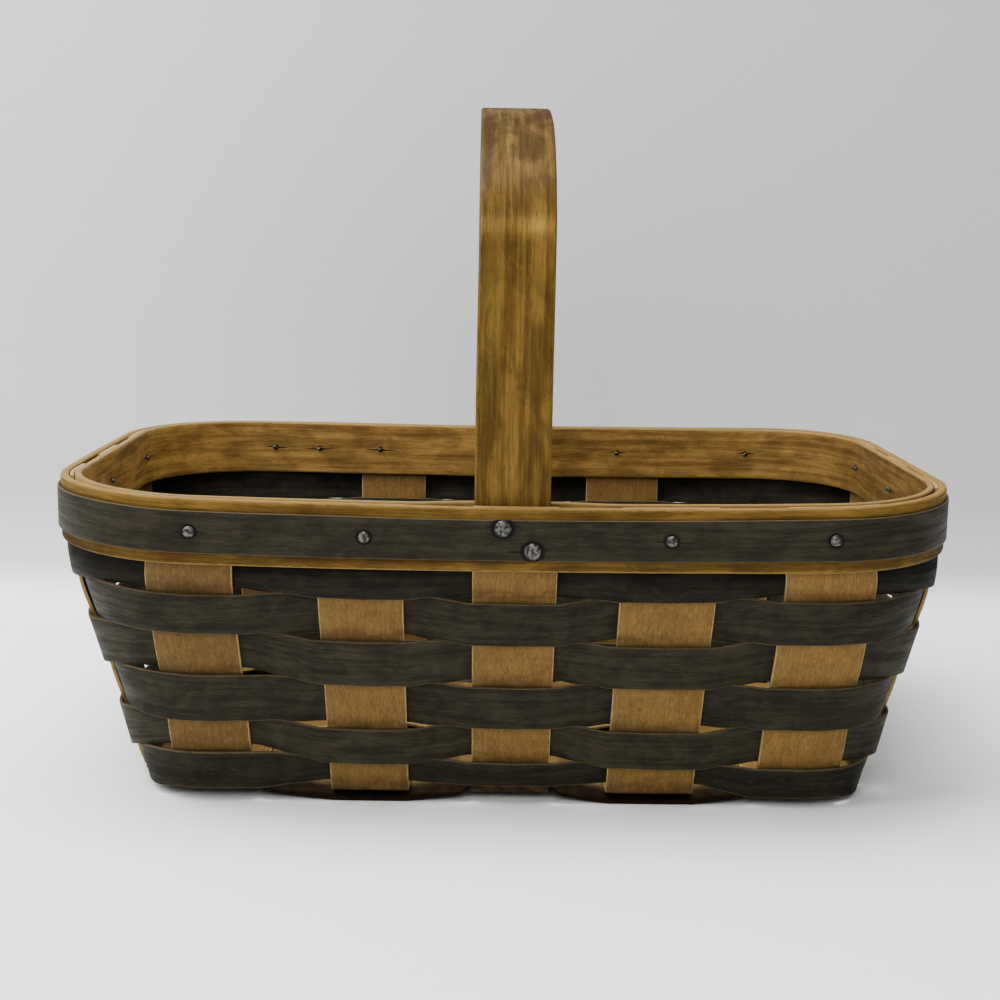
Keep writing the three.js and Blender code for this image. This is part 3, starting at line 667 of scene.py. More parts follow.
def crease_shade_and_dirt(wall, index):
    """Painted shade and some dirt in the creases where a visible piece of upright meets the rows,
    and painted shade at its foot by the floor's edge.
    """
    edges = [wall.row_edge(edge, index) for edge in range(len(wall.row_edges))]
    rim, foot = floor_edge_shade_mask(wall), ramp(10.4 * MM, -4 * MM)
    shown = [(top, bottom) for row, (top, bottom) in enumerate(zip(edges, edges[1:]))
             if (row + index) % 2 == 0]

    def amount(point):
        z = point.z
        for top, bottom in shown:
            if bottom - 3 * MM < z < top + MM:
                low = max(0.0, 1 - (z - bottom - 0.4 * MM) / (3.4 * MM))
                high = max(0.0, 1 - (top + 0.3 * MM - z) / (1.2 * MM))
                return 0.45 * min(1.0, max(low, high * 0.7))
        return rim(point) * foot(z)
    return amount


def painted_shade_under_bands(wall):
    """Painted shade on the top of the first row, close under the bands."""
    rise = ramp(wall.band_bottom - 10.5 * MM, 7 * MM)
    return lambda point: rise(point.z)


def grime_of_hands(wall):
    """Dark patina that hands leave on the top of the hoop."""
    basket = wall.basket
    rise = ramp(1 / 11, 1 / 1.1)
    height = basket.handle_height - basket.handle_spring
    return lambda point: rise((point.z - basket.handle_spring) / height)


def painted_shade_under_trim(wall):
    """Painted shade in the crease under the dyed strip of the rim."""
    basket = wall.basket
    crease = basket.rim_height - basket.trim_drop - basket.trim_height - basket.rim_dip_front

    def amount(point):
        gap = point.z - crease
        return 0.9 * clip(1 + gap / (3 * MM)) if gap < 3 * MM else 0.0
    return amount


def painted_knuckle_highlight(wall):
    """Painted highlight: lighter wood where the legs begin to curve."""
    middle = wall.basket.handle_spring + 3.4 * MM
    return lambda point: 2.6 * math.exp(-((point.z - middle) / (3.2 * MM)) ** 2)


def painted_end_light_and_shade(wall):
    """Painted light and shade: the inner band is lighter at its left end and darker at its right
    one.
    """
    rise = ramp(0.75, 0.2)
    return lambda point: (1.6 if point.x < 0 else -1.1) * rise(abs(point.x) / wall.rim[0])


def away_from_front(place):
    """One at the ends and the back, nothing along the front wall."""
    return clip(min(place - (FRONT_UPRIGHTS - 0.9), UPRIGHTS - 0.1 - place) / 0.5)


def row_course(wall, row):
    """Stations of a woven row all the way round, from where its ends are hidden at the back."""
    turn = -1 if row % 2 == 0 else 1
    first, last = row == 0, row == len(wall.row_edges) - 2
    sag_above = wall.splints.row_sag * 0.8
    sag_below = wall.splints.row_sag * (0.64 if last else 1.2)
    gap, hidden, uneven = 0.05 * MM, 0.35 * MM, 0.35 * MM
    count = UPRIGHTS * 36
    start = ROW_STARTS[row]

    def station_at(place):
        top = wall.row_edge(row, place) + (hidden if first else -gap)
        bottom = wall.row_edge(row + 1, place) + gap
        swing = wall.walked(place, (top + bottom) / 2)[1] * turn
        bounded = max(-1.0, min(1.0, swing))
        lean = bounded ** 3
        around = 2 * math.pi * place / UPRIGHTS
        seed = (math.cos(around) * 3.2, math.sin(around) * 3.2)
        up = top - (0 if first else sag_above * lean - drift(*seed, row + 8.5, uneven))
        hung = lean if lean > 0 else lean * (1 - 1.5 * away_from_front(place))
        down = bottom - sag_below * hung + drift(*seed, row + 9.5, uneven)
        tilt = 0.25 * MM * bounded

        def station(v):
            z = down + (up - down) * (v + 0.5)
            distance, _ = wall.walked(place, z)
            return wall.point(z, distance, swing * wall.swing - tilt * v * 2)
        return station

    return [station_at((start + UPRIGHTS * k / count) % UPRIGHTS) for k in range(count)]


def leg_gap(wall, distance):
    """How far along the rim a place is from the edge of the nearer handle leg."""
    outline = wall.outline(wall.basket.rim_height)
    x, y, _, _ = outline.at(distance)
    if abs(y) <= outline.straight_y:
        return 1.0      # a whole metre, because no leg stands in the ends
    return abs(x - wall.basket.handle_x) - wall.basket.handle_width / 2 - wall.clearance


def ring_course(wall, bottom, top, inside, outside, bows, start_x, seed):
    """Stations of a band round the rim between two heights, from a place at the back."""
    outline = wall.outline(wall.basket.rim_height)
    start = outline.locate("back", start_x)
    middle = (inside + outside) / 2
    bow_ends = 26 * MM
    count = 520

    def station_at(distance):
        bow = 0.0
        if bows:
            bow = wall.bow * (1 - smooth(clip(leg_gap(wall, distance) / bow_ends)))
        turn = 2 * math.pi * distance / outline.total
        around = (math.cos(turn) * 2.6, math.sin(turn) * 2.6)
        up = drift(*around, seed, 0.35 * MM)
        down = drift(*around, seed + 5, 0.3 * MM)

        def station(v):
            height = bottom + down + (top + up - bottom - down) * (v + 0.5)
            return wall.point(wall.basket.rim_height, distance, middle - bow, height)
        return station

    return [station_at(start + outline.total * k / count) for k in range(count)]


def hoop_course(wall):
    """Stations of the handle's middle surface, front leg first, and its thickness at each."""
    basket = wall.basket
    face = wall.rim[1] - wall.band_inside
    rise = basket.handle_height - basket.handle_spring
    leg_bottom = wall.band_bottom + wall.clearance
    shaved = basket.rim_height + 22 * MM
    straight, arch = 40, 96
    leg = [leg_bottom + (basket.handle_spring - leg_bottom) * k / straight
           for k in range(straight)]
    path = [(-face, z, -1, 0) for z in leg]
    for k in range(arch + 1):
        turn = math.pi * (1 - k / arch)
        across, up = math.cos(turn), math.sin(turn)
        out = Vector((across / face, up / rise)).normalized()
        path.append((face * across, basket.handle_spring + rise * up, *out))
    path += [(face, z, 1, 0) for z in reversed(leg)]
    heights = [leg_bottom, basket.rim_height, shaved]
    depths = [basket.handle_leg, basket.handle_leg, basket.handle_thickness]
    depth = [float(np.interp(z, heights, depths)) for _, z, _, _ in path]

    def station_at(k):
        y, z, out_y, out_z = path[k]
        uneven = drift(y * 14, z * 14, 3.3, 0.5 * MM)
        wide = basket.handle_width * (1 + drift(y * 9, z * 9, 8.1, 0.012))

        def station(v):
            x = basket.handle_x + v * wide + uneven
            return Vector((x, y - out_y * depth[k] / 2, z - out_z * depth[k] / 2))
        return station

    return [station_at(k) for k in range(len(path))], depth


# Tacks

def tack_places(wall, tacks):
    """Every tack: its name, where it enters the rim, its outward direction and its size."""
    basket = wall.basket
    height = basket.rim_height - basket.trim_drop - basket.trim_height / 2
    found = []

    def add(name, side, coordinate, z, radius, depth):
        outline = wall.outline(z)
        x, y, out_x, out_y = outline.at(outline.locate(side, coordinate))
        found.append({"name": name, "place": wall.settled(x, y, z), "out": (out_x, out_y),
                      "radius": radius, "depth": depth})

    middle = wall.cross[len(wall.cross) // 2][0]
    for index, (side, centre, _) in enumerate(wall.uprights):
        if side in ("front", "back") and centre == middle:
            for turn, word in ((-1, "upper"), (1, "lower")):
                add(f"handle_tack_{side}_{word}", side,
                    basket.handle_x + tacks.pair_shift + turn * tacks.pair_x,
                    height - turn * tacks.pair_z, tacks.large_radius, wall.lining + wall.bow)
            continue
        add(f"rim_tack_{index + 1:02d}", side, wall.fanned(side, centre) + tacks.shifts[index],
            height, tacks.small_radius, wall.lining)
    add(f"rim_tack_{UPRIGHTS + 1}", "back", tacks.lap_x, height, tacks.small_radius, wall.lining)
    return found


# A tack's head from its seat to its middle, in shares of its radius and of its rise
HEAD_PROFILE = ((0.97, 0), (1, 0.22), (0.9, 0.55), (0.66, 0.82), (0.34, 0.96), (0, 1))


def make_tack(tack, wall, index):
    """One tack: a hammered head, a shank and a point bent over inside the rim."""
    radius = tack["radius"]
    seat = wall.trim_outside + 0.15 * MM
    inner = -tack["depth"] - 0.3 * MM
    shank = radius * 0.27
    rise = radius * 0.46
    profile = [(0, inner), (shank, inner), (shank, seat)]
    profile += [(radius * across, seat + rise * up) for across, up in HEAD_PROFILE]
    mesh = bmesh.new()
    verts = [mesh.verts.new((across, 0, height)) for across, height in profile]
    edges = [mesh.edges.new(pair) for pair in zip(verts, verts[1:])]
    bmesh.ops.spin(mesh, geom=verts + edges, cent=(0, 0, 0), axis=(0, 0, 1), dvec=(0, 0, 0),
                   angle=2 * math.pi, steps=20, use_merge=True, use_duplicate=False)
    bmesh.ops.remove_doubles(mesh, verts=mesh.verts[:], dist=1e-7)
    for vert in mesh.verts:
        if vert.co.z > seat + rise * 0.1:
            knock = noise.noise(Vector((vert.co.x, vert.co.y, 0)) * 900 + Vector((index, 0, 7)))
            vert.co.z += knock * rise * 0.28
    point = bmesh.ops.create_cone(mesh, cap_ends=True, segments=10, radius1=shank * 1.5,
                                  radius2=shank * 0.35, depth=radius * 1.1)["verts"]
    bmesh.ops.bevel(mesh, geom=[edge for edge in mesh.edges if all(v in point for v in edge.verts)
                                and edge.calc_face_angle(0) > 1],
                    offset=shank * 0.3, segments=1, profile=0.5, affect="EDGES", material=-1)
    bent = [vert for vert in mesh.verts if abs(vert.co.z) <= radius * 0.56
            and vert.co.to_2d().length < shank * 1.6]
    turn = 2 * math.pi * (0.5 + 0.5 * noise.noise(Vector((index * 1.7, 3, 1))))
    lay = Matrix.Rotation(turn, 4, "Z") @ Matrix.Rotation(math.radians(82), 4, "Y")
    bmesh.ops.transform(mesh, matrix=Matrix.Translation((0, 0, inner - shank * 0.35)) @ lay,
                        verts=bent)
    bmesh.ops.recalc_face_normals(mesh, faces=mesh.faces[:])
    out = Vector((*tack["out"], 0))
    turned = out.to_track_quat("Z", "Y").to_matrix().to_4x4()
    bmesh.ops.transform(mesh, matrix=Matrix.Translation(tack["place"]) @ turned,
                        verts=mesh.verts[:])
    return finished(tack["name"].replace("tack", "nail"), mesh)


# Materials

class Nodes:
    """The shader nodes of one material or group, added as they are needed."""

    def __init__(self, tree):
        self.tree = tree

    def feed(self, socket, value):
        """Links a socket to an input, or sets the input to a constant."""
        if isinstance(value, bpy.types.NodeSocket):
            self.tree.links.new(value, socket)
        elif socket.type == "RGBA":
            socket.default_value = (*value, 1.0)
        else:
            socket.default_value = value

    def fill(self, inputs, values):
        for key, value in values.items():
            self.feed(inputs[key], value)

    def put(self, kind, values=None, **settings):
        """Adds a node, sets its options, feeds its inputs and returns its outputs."""
        node = self.tree.nodes.new("ShaderNode" + kind)
        for key, value in settings.items():
            setattr(node, key, value)
        self.fill(node.inputs, values or {})
        return node.outputs

    def math(self, operation, first, second=0.5, clamp=False):
        return self.put("Math", {0: first, 1: second}, operation=operation, use_clamp=clamp)[0]

    def times(self, first, second, clamp=False):
        return self.math("MULTIPLY", first, second, clamp)

    def plus(self, first, second):
        return self.math("ADD", first, second)

    def minus(self, first, second, clamp=False):
        return self.math("SUBTRACT", first, second, clamp)

    def mixed(self, factor, first, second, blend="MIX"):
        return self.put("Mix", {0: factor, 6: first, 7: second}, data_type="RGBA",
                        blend_type=blend)[2]

    def remap(self, value, low, high, to_low=0.0, to_high=1.0):
        return self.put("MapRange", {"Value": value, "From Min": low, "From Max": high,
                                     "To Min": to_low, "To Max": to_high},
                        interpolation_type="SMOOTHSTEP")["Result"]

    def vector(self, operation, first, second):
        return self.put("VectorMath", {0: first, 1: second}, operation=operation)[0]

    def noise(self, vector, along, across, detail=3.0, roughness=0.6, distortion=0.0):
        """Noise over the splint's own coordinates in metres, stretched along the grain."""
        place = self.vector("MULTIPLY", vector, (along, across, 1))
        return self.put("TexNoise", {"Vector": place, "Scale": 1.0, "Detail": detail,
                                     "Roughness": roughness, "Distortion": distortion},
                        noise_dimensions="2D")["Fac"]


def group(name, inputs, outputs):
    """A node group with its inputs' defaults, None for a vector, and its outputs' names."""
    tree = bpy.data.node_groups.new(name, "ShaderNodeTree")
    for key, default in inputs.items():
        kind = "NodeSocketVector" if default is None else "NodeSocketFloat"
        socket = tree.interface.new_socket(name=key, in_out="INPUT", socket_type=kind)
        if default is not None:
            socket.default_value = default
    for key in outputs:
        tree.interface.new_socket(name=key, in_out="OUTPUT", socket_type="NodeSocketFloat")
    given = tree.nodes.new("NodeGroupInput").outputs
    return Nodes(tree), given, tree.nodes.new("NodeGroupOutput").inputs


def grain_group():
    """Fibres, streaks, pores and broad patches of a split or sliced piece of wood."""
    nodes, given, out = group("Wood grain", {"Vector": None, "Streak width": 1.0, "Shortness": 1.0},
                              ("Streaks", "Fibres", "Hairs", "Pores", "Patches"))
    wander = nodes.noise(given["Vector"], 8, 22, 2)
    shift = nodes.times(nodes.minus(wander, 0.5), 0.0035)
    bent = nodes.vector("ADD", given["Vector"], nodes.put("CombineXYZ", {"Y": shift})[0])
    short = nodes.put("CombineXYZ", {"X": given["Shortness"], "Y": 1.0})[0]
    bent = nodes.vector("MULTIPLY", bent, short)
    wide = nodes.put("VectorMath", {0: bent, "Scale": given["Streak width"]},
                     operation="SCALE")[0]
    for key, value, low, high in (
            ("Streaks", nodes.noise(wide, 16, 520, 4, 0.6), 0.32, 0.68),
            ("Fibres", nodes.noise(bent, 95, 3100, 3, 0.65), 0.25, 0.75),
            ("Hairs", nodes.noise(bent, 75, 3900, 2, 0.5), 0.62, 0.78),
            ("Pores", nodes.noise(bent, 210, 2300, 2, 0.5), 0.66, 0.78),
            ("Patches", nodes.noise(bent, 38, 95, 4, 0.6, 0.4), 0.3, 0.7)):
        nodes.feed(out[key], nodes.remap(value, low, high))
    return nodes.tree


def worn_edge_group():
    """Where a splint's cut edge shows, with a ragged border."""
    nodes, given, out = group("Cut edge", {"Vector": None, "Distance": 1.0, "Reach": 0.4},
                              ("Mask",))
    ragged = nodes.noise(given["Vector"], 260, 900, 4, 0.7)
    reach = nodes.times(given["Reach"], nodes.remap(ragged, 0.3, 0.7, 0.6, 1.35))
    past = nodes.math("DIVIDE", given["Distance"], reach)
    nodes.feed(out["Mask"], nodes.remap(past, 0.55, 1.15, 1.0, 0.0))
    return nodes.tree


def nail_group():
    """A dark ring round each tack and the fine cracks beside it."""
    nodes, given, out = group("Tack stain", {"Offset": None, "Vector": None, "Radius": 3.0},
                              ("Stain", "Crack"))
    wobble = nodes.noise(given["Offset"], 500, 500, 3, 0.6)
    wide = nodes.vector("MULTIPLY", given["Offset"], (900, 1000, 1000))
    gap = nodes.put("VectorMath", {0: wide}, operation="LENGTH")["Value"]
    past = nodes.minus(nodes.minus(gap, nodes.times(wobble, 0.7)), given["Radius"])
    nodes.feed(out["Stain"], nodes.remap(past, -0.2, 0.25, 1.0, 0.0))
    parts = nodes.put("SeparateXYZ", {0: given["Offset"]})
    chance = nodes.noise(given["Vector"], 42, 42, 1)
    lift = nodes.times(nodes.minus(chance, 0.5), 0.003)
    height = nodes.math("ABSOLUTE", nodes.plus(parts["Y"], lift))
    side = nodes.math("ABSOLUTE", parts["X"])
    reach = nodes.remap(chance, 0.3, 0.7, 0.006, 0.011)
    thick = nodes.minus(1.0, nodes.math("DIVIDE", side, reach), clamp=True)
    left = nodes.minus(nodes.times(thick, 0.00055), height)
    nodes.feed(out["Crack"], nodes.remap(left, 0.0, 0.00009))
    return nodes.tree


def new_material(name):
    """A material with its nodes and the inputs of its shader."""
    material = bpy.data.materials.new(name)
    material.use_nodes = True
    tree = material.node_tree
    return material, Nodes(tree), tree.nodes["Principled BSDF"].inputs


def scaled(tint, share):
    return [value * share for value in tint]


def wood(name, groups, light, dark, cut, streak_width, shortness, reach=0.45, pores=0.5,
         roughness=0.6, patches=0.8, grime_and_shade=0.0, bump=0.12, nails=0.0, coat=0.0, fine=1.4,
         hair=None, hairs=0.0, gloss=0.1, soil_and_shade=None):
    """A finish for split wood: grain along the splint, pale cut edges and wear."""
    material, nodes, shader = new_material(name)
    grain, edge, stain = groups
    vector = nodes.put("UVMap", uv_map="grain")["UV"]
    read = {key: nodes.put("Attribute", attribute_name=key)["Fac"]
            for key in ("edge", "tone", "grime_and_shade")}
    got = nodes.put("Group", {"Vector": vector, "Streak width": streak_width,
                              "Shortness": shortness}, node_tree=grain)
    base = nodes.mixed(got["Streaks"], dark, light)
    fibres = nodes.remap(got["Fibres"], 0, 1, 1 - 0.16 * fine, 1 + 0.14 * fine)
    patch = nodes.remap(got["Patches"], 0, 1, 1 - 0.3 * patches, 1 + 0.24 * patches)
    # The tone attribute holds each splint's own tone plus painted light and shade: a highlight on
    # the knuckles, lighter or darker band ends and darker floor edges
    tone = nodes.plus(nodes.times(read["tone"], 0.36), 0.82)
    shade = nodes.times(nodes.times(fibres, patch), tone)
    scale = nodes.put("CombineXYZ", {"X": shade, "Y": shade, "Z": shade})[0]
    base = nodes.mixed(1.0, base, scale, "MULTIPLY")
    base = nodes.mixed(nodes.times(got["Pores"], pores), base, scaled(dark, 0.35))
    if hairs:
        base = nodes.mixed(nodes.times(got["Hairs"], hairs), base, hair)
    worn = nodes.put("Group", {"Vector": vector, "Distance": read["edge"], "Reach": reach},
                     node_tree=edge)
    cut_colour = nodes.mixed(got["Fibres"], scaled(cut, 0.8), cut)
    base = nodes.mixed(worn["Mask"], base, cut_colour)
    # The grime attribute darkens towards a dark colour: painted shade in creases, under the bands
    # and trim and at the floor's edges, and real dirt on the handle
    uneven = nodes.remap(got["Patches"], 0, 1, 1.15 * grime_and_shade, 0.75 * grime_and_shade)
    darkening = nodes.times(read["grime_and_shade"], uneven, clamp=True)
    base = nodes.mixed(darkening, base, soil_and_shade or bpy.context.scene.basket_colours.grime_and_shade)
    height = nodes.plus(nodes.times(got["Fibres"], 0.6), nodes.times(got["Streaks"], 0.4))
    height = nodes.minus(height, nodes.times(got["Pores"], 0.5))
    if nails:
        offset = nodes.put("Attribute", attribute_name="nail")["Vector"]
        mark = nodes.put("Group", {"Offset": offset, "Vector": vector, "Radius": nails},
                         node_tree=stain)
        dark_mark = nodes.math("MAXIMUM", nodes.times(mark["Stain"], 0.9), mark["Crack"])
        base = nodes.mixed(dark_mark, base, TACK_STAIN)
        height = nodes.minus(height, mark["Crack"])
    relief = nodes.put("Bump", {"Height": height, "Strength": bump, "Distance": 0.0004})[0]
    rough = nodes.remap(got["Streaks"], 0, 1, roughness + 0.09, roughness - 0.07)
    undarkened = nodes.minus(1.0, darkening, clamp=True)
    nodes.fill(shader, {"Normal": relief, "Base Color": base,
                        "Roughness": nodes.plus(rough, nodes.times(darkening, 0.3)),
                        "Specular IOR Level": gloss, "Coat Weight": nodes.times(undarkened, coat),
                        "Coat Roughness": 0.3})
    return material


def iron(name, tint):
    """Dull hammered iron with darker hollows."""
    material, nodes, shader = new_material(name)
    place = nodes.put("TexCoord")["Object"]
    dents = nodes.put("TexNoise", {"Vector": place, "Scale": 800.0, "Detail": 3.0})[0]
    fine = nodes.put("TexNoise", {"Vector": place, "Scale": 2600.0, "Detail": 2.0})[0]
    base = nodes.mixed(nodes.remap(dents, 0.42, 0.6), scaled(tint, 0.25), scaled(tint, 1.2))
    relief = nodes.put("Bump", {"Height": dents, "Strength": 0.5, "Distance": 0.0005})[0]
    nodes.fill(shader, {"Base Color": base, "Normal": relief, "Metallic": 0.85,
                        "Roughness": nodes.remap(fine, 0.3, 0.7, 0.36, 0.58)})
    return material


def finishes():
    """All the materials, made once."""
    if "Bare stake" in bpy.data.materials:
        return bpy.data.materials
    tints = bpy.context.scene.basket_colours
    groups = (grain_group(), worn_edge_group(), nail_group())
    bare = {"streak_width": 1.3, "roughness": 0.62, "patches": 0.3, "grime_and_shade": 1.0, "fine": 1.5,
            "shortness": 4.2}
    # On the dyed rows the darkening colour is the painted shade under the bands
    dyed = {"streak_width": 0.8, "pores": 0.25, "bump": 0.16, "hair": tints.dye_worn,
            "soil_and_shade": scaled(tints.dye, 0.3)}
    wood("Bare stake", groups, tints.stake, tints.stake_dark, tints.cut, gloss=0.15, **bare)
    # The floor splints' cut edges and their darkened outer edges take the grime colour: painted
    # shade where the floor meets the ground
    wood("Floor splint", groups, tints.filler, tints.filler_dark, tints.grime_and_shade, gloss=0.05,
         soil_and_shade=scaled(tints.grime_and_shade, 0.35), **bare)
    wood("Dyed splint", groups, tints.dye_light, tints.dye, tints.dye_cut, reach=0.32,
         roughness=0.66, grime_and_shade=1.0, hairs=0.45, shortness=2.2, **dyed)
    wood("Dyed trim", groups, tints.dye_light, tints.dye, tints.dye_cut, reach=0.3,
         nails=2.9, hairs=0.5, shortness=1.8, **dyed)
    wood("Outer band", groups, tints.band, tints.band_dark, tints.rim_cut, streak_width=0.7,
         reach=0.75, pores=0.45, roughness=0.62, patches=0.6, gloss=0.06, grime_and_shade=0.6,
         fine=1.3, shortness=1.3)
    wood("Inner band", groups, tints.lining, tints.lining_dark, tints.rim_cut,
         streak_width=0.6, reach=0.8, pores=0.6, nails=1.1, fine=1.3, shortness=1.5)
    wood("Bentwood", groups, tints.handle, tints.handle_dark, tints.handle, streak_width=0.8,
         reach=0.9, pores=0.7, patches=0.9, grime_and_shade=0.75, fine=1.2, gloss=0.03, coat=0.04,
         shortness=1.2)
    iron("Iron", tints.iron)
    return bpy.data.materials


# Operators

def wall_of(context):
    scene = context.scene
    return Wall(scene.basket_sizes, scene.splint_sizes)


class BASKET_OT_stakes(bpy.types.Operator):
    """Bend the crosswise and lengthwise stakes up the walls and across the floor"""
    bl_idname = "basket.stakes"
    bl_label = "Stakes"

    def execute(self, context):
        wall = wall_of(context)
        stock = wall.splints.stake_thickness
        finish = finishes()["Bare stake"]
        for index, (centre, width) in enumerate(wall.cross):
            front, back = wall.upright("front", centre), wall.upright("back", centre)
            down = upright_course(wall, front)
            up = upright_course(wall, back)[::-1]
            course = down + eased_between(down[-1], up[0], 40) + up
            # Each stake's grime is painted shade, with some dirt, in the creases at the rows and
            # painted shade at its foot
            piece = bend_splint(f"crosswise_stake_{index + 1}", course, width, stock, EASE,
                                across=8, tone=STAKE_TONES[index], grime_and_shade=crease_shade_and_dirt(wall, front))
            dress(piece, finish, "stake_splint", f"cross_stake_{index + 1}")
        for index, (centre, width) in enumerate(wall.long):
            left, right = wall.upright("left", centre), wall.upright("right", centre)
            sides = (centre - width / 2, centre + width / 2)
            run = floor_course(wall, 2 * index + 1, lambda x: sides)
            down = upright_course(wall, left)
            up = upright_course(wall, right)[::-1]
            course = (down + eased_between(down[-1], run[0], 4) + run
                      + eased_between(run[-1], up[0], 4) + up)
            piece = bend_splint(f"lengthwise_stake_{LONG_PLACES[index]}", course, width, stock,
                                EASE, across=8, tone=0.33 + 0.21 * index,
                                grime_and_shade=crease_shade_and_dirt(wall, left))
            dress(piece, finish, "stake_splint", f"long_stake_{LONG_PLACES[index]}")
        return {"FINISHED"}


class BASKET_OT_fillers(bpy.types.Operator):
    """Lay the short splints that close the floor between the lengthwise stakes"""
    bl_idname = "basket.fillers"
    bl_label = "Floor fillers"
    side_gap = 1.6 * MM     # from a lengthwise stake's edge to a filler's
    end_gap = 1.2 * MM      # from the end wall to a filler's end
    held = 0.8 * MM         # how far past a stake under it an outer filler's edge is held up
    freed = 3 * MM          # from there to where the edge hangs free
    droop = 1.4 * MM        # how far a free edge hangs down

    def execute(self, context):
        wall = wall_of(context)
        pitch = wall.long[-1][0]
        inner = wall.splints.long_width / 2 + self.side_gap
        outer = pitch + inner
        outline = wall.outline(wall.floor_middle)
        radius = outline.radius
        reach = outline.straight_x + radius - self.end_gap
        over = [(centre, width / 2) for centre, width in wall.cross[::2]]
        least = wall.splints.stake_thickness / 2 + 0.1 * MM

        def freedom(x):
            clear = min(abs(x - centre) - half for centre, half in over)
            part = clip((clear - self.held) / self.freed)
            return smooth(part) * (0.4 if abs(x) > over[-1][0] else 1)

        def bend_edge(x):
            past = max(abs(x) - outline.straight_x, 0.0)
            return (outline.straight_y + math.sqrt(radius ** 2 - past ** 2)
                    + (-1.5 + 2.5 * freedom(x)) * MM)

        def drooping(station, turn):
            def lowered(v):
                point = station(v)
                share = max(turn * 2 * v, 0.0) ** 2 * freedom(point.x)
                point.z += (max(point.z - self.droop, least) - point.z) * share
                return point
            return lowered

        laid = (("front", 0, lambda x: (-bend_edge(x), -outer)),
                ("mid_front", 2, lambda x: (inner - pitch, -inner)),
                ("mid_back", 4, lambda x: (inner, pitch - inner)),
                ("back", 6, lambda x: (outer, bend_edge(x))))
        for place, strip, edges in laid:
            low, high = edges(0)
            course = floor_course(wall, strip, edges, reach)
            if place in ("front", "back"):
                turn = -1 if place == "front" else 1
                course = [drooping(station, turn) for station in course]
            # The floor's outer edges get painted shade: a near-black tone and the dark grime colour
            # where they sit in shadow near the ground
            piece = bend_splint(f"floor_filler_{place}", course, high - low,
                                wall.splints.stake_thickness, EASE, across=4,
                                tone=0.2 + 0.11 * strip, grime_and_shade=floor_edge_shade_mask(wall),
                                painted_light_and_shade=edge_shade(wall))
            dress(piece, finishes()["Floor splint"], "filler_splint", f"filler_{place}")
        return {"FINISHED"}


class BASKET_OT_weavers(bpy.types.Operator):
    """Weave the dyed rows round the uprights"""
    bl_idname = "basket.weavers"
    bl_label = "Woven rows"

    def execute(self, context):
        wall = wall_of(context)
        edges = wall.row_edges
        for row in range(len(edges) - 1):
            width = edges[row] - edges[row + 1]
            # The first row's grime is the painted shade under the bands
            piece = bend_splint(f"woven_row_{row + 1}", row_course(wall, row), width,
                                wall.splints.weaver_thickness, EASE, across=8, closed=True,
                                tone=ROW_TONES[row],
                                grime_and_shade=painted_shade_under_bands(wall) if row == 0 else None)
            dress(piece, finishes()["Dyed splint"], "weaver_splint", f"weaver_row_{row + 1}")
        return {"FINISHED"}


class BASKET_OT_bands(bpy.types.Operator):
    """Set the two rim bands and the dyed strip round the outer one"""
    bl_idname = "basket.bands"
    bl_label = "Rim bands"

    def execute(self, context):
        scene = context.scene
        wall = wall_of(context)
        basket = wall.basket
        nails = tack_places(wall, scene.tack_sizes)
        top, bottom = basket.rim_height, wall.band_bottom
        trim_top = top - basket.trim_drop
        trim_bottom = trim_top - basket.trim_height
        bands = (
            ("rim_band_outer", "outer_band", "Outer band", "band_wood", bottom, top,
             wall.band_inside, wall.band_outside, 0.9, False, scene.tack_sizes.lap_x),
            ("rim_band_inner", "inner_band", "Inner band", "band_wood", bottom, top,
             -wall.lining, -wall.band_inside, 0.7, True, basket.handle_x),
            ("rim_trim", "trim_strip", "Dyed trim", "weaver_splint", trim_bottom, trim_top,
             wall.trim_inside, wall.trim_outside, 0.25, False, scene.tack_sizes.lap_x),
        )
        for index, (name, node, finish, slot, low, high, inside, outside, ease, bows,
                    start_x) in enumerate(bands):
            # The outer band's grime is painted shade under the trim; the inner band's tone gets
            # painted light at its left end and painted shade at its right
            course = ring_course(wall, low, high, inside, outside, bows, start_x, index + 1.5)
            piece = bend_splint(name, course, high - low, outside - inside, ease * MM, across=14,
                                closed=True, tone=0.3 + 0.25 * index, nails=nails,
                                grime_and_shade=None if index else painted_shade_under_trim(wall),
                                painted_light_and_shade=painted_end_light_and_shade(wall) if bows else None)
            dress(piece, finishes()[finish], slot, node)
        return {"FINISHED"}


class BASKET_OT_handle(bpy.types.Operator):
    """Bend the hoop of the handle"""
    bl_idname = "basket.handle"
    bl_label = "Handle"

    def execute(self, context):
        wall = wall_of(context)
        basket = wall.basket
        course, depth = hoop_course(wall)
        stock = basket.handle_thickness
        # The handle's tone gets a painted highlight where the legs begin to curve; its grime is
        # real dirt from hands
        piece = bend_splint("bentwood_handle", course, basket.handle_width, stock, 1.1 * MM,
                            across=12, tone=0.45, thick=[one / stock for one in depth],
                            grime_and_shade=grime_of_hands(wall), painted_light_and_shade=painted_knuckle_highlight(wall))
        dress(piece, finishes()["Bentwood"], "handle_wood", "handle")
        return {"FINISHED"}


class BASKET_OT_tacks(bpy.types.Operator):
    """Drive the tacks through the rim and bend their points over inside"""
    bl_idname = "basket.tacks"
    bl_label = "Tacks"

    def execute(self, context):
        scene = context.scene
        wall = wall_of(context)
        for index, tack in enumerate(tack_places(wall, scene.tack_sizes)):
            piece = make_tack(tack, wall, index)
            dress(piece, finishes()["Iron"], "tack_metal", tack["name"])
        return {"FINISHED"}


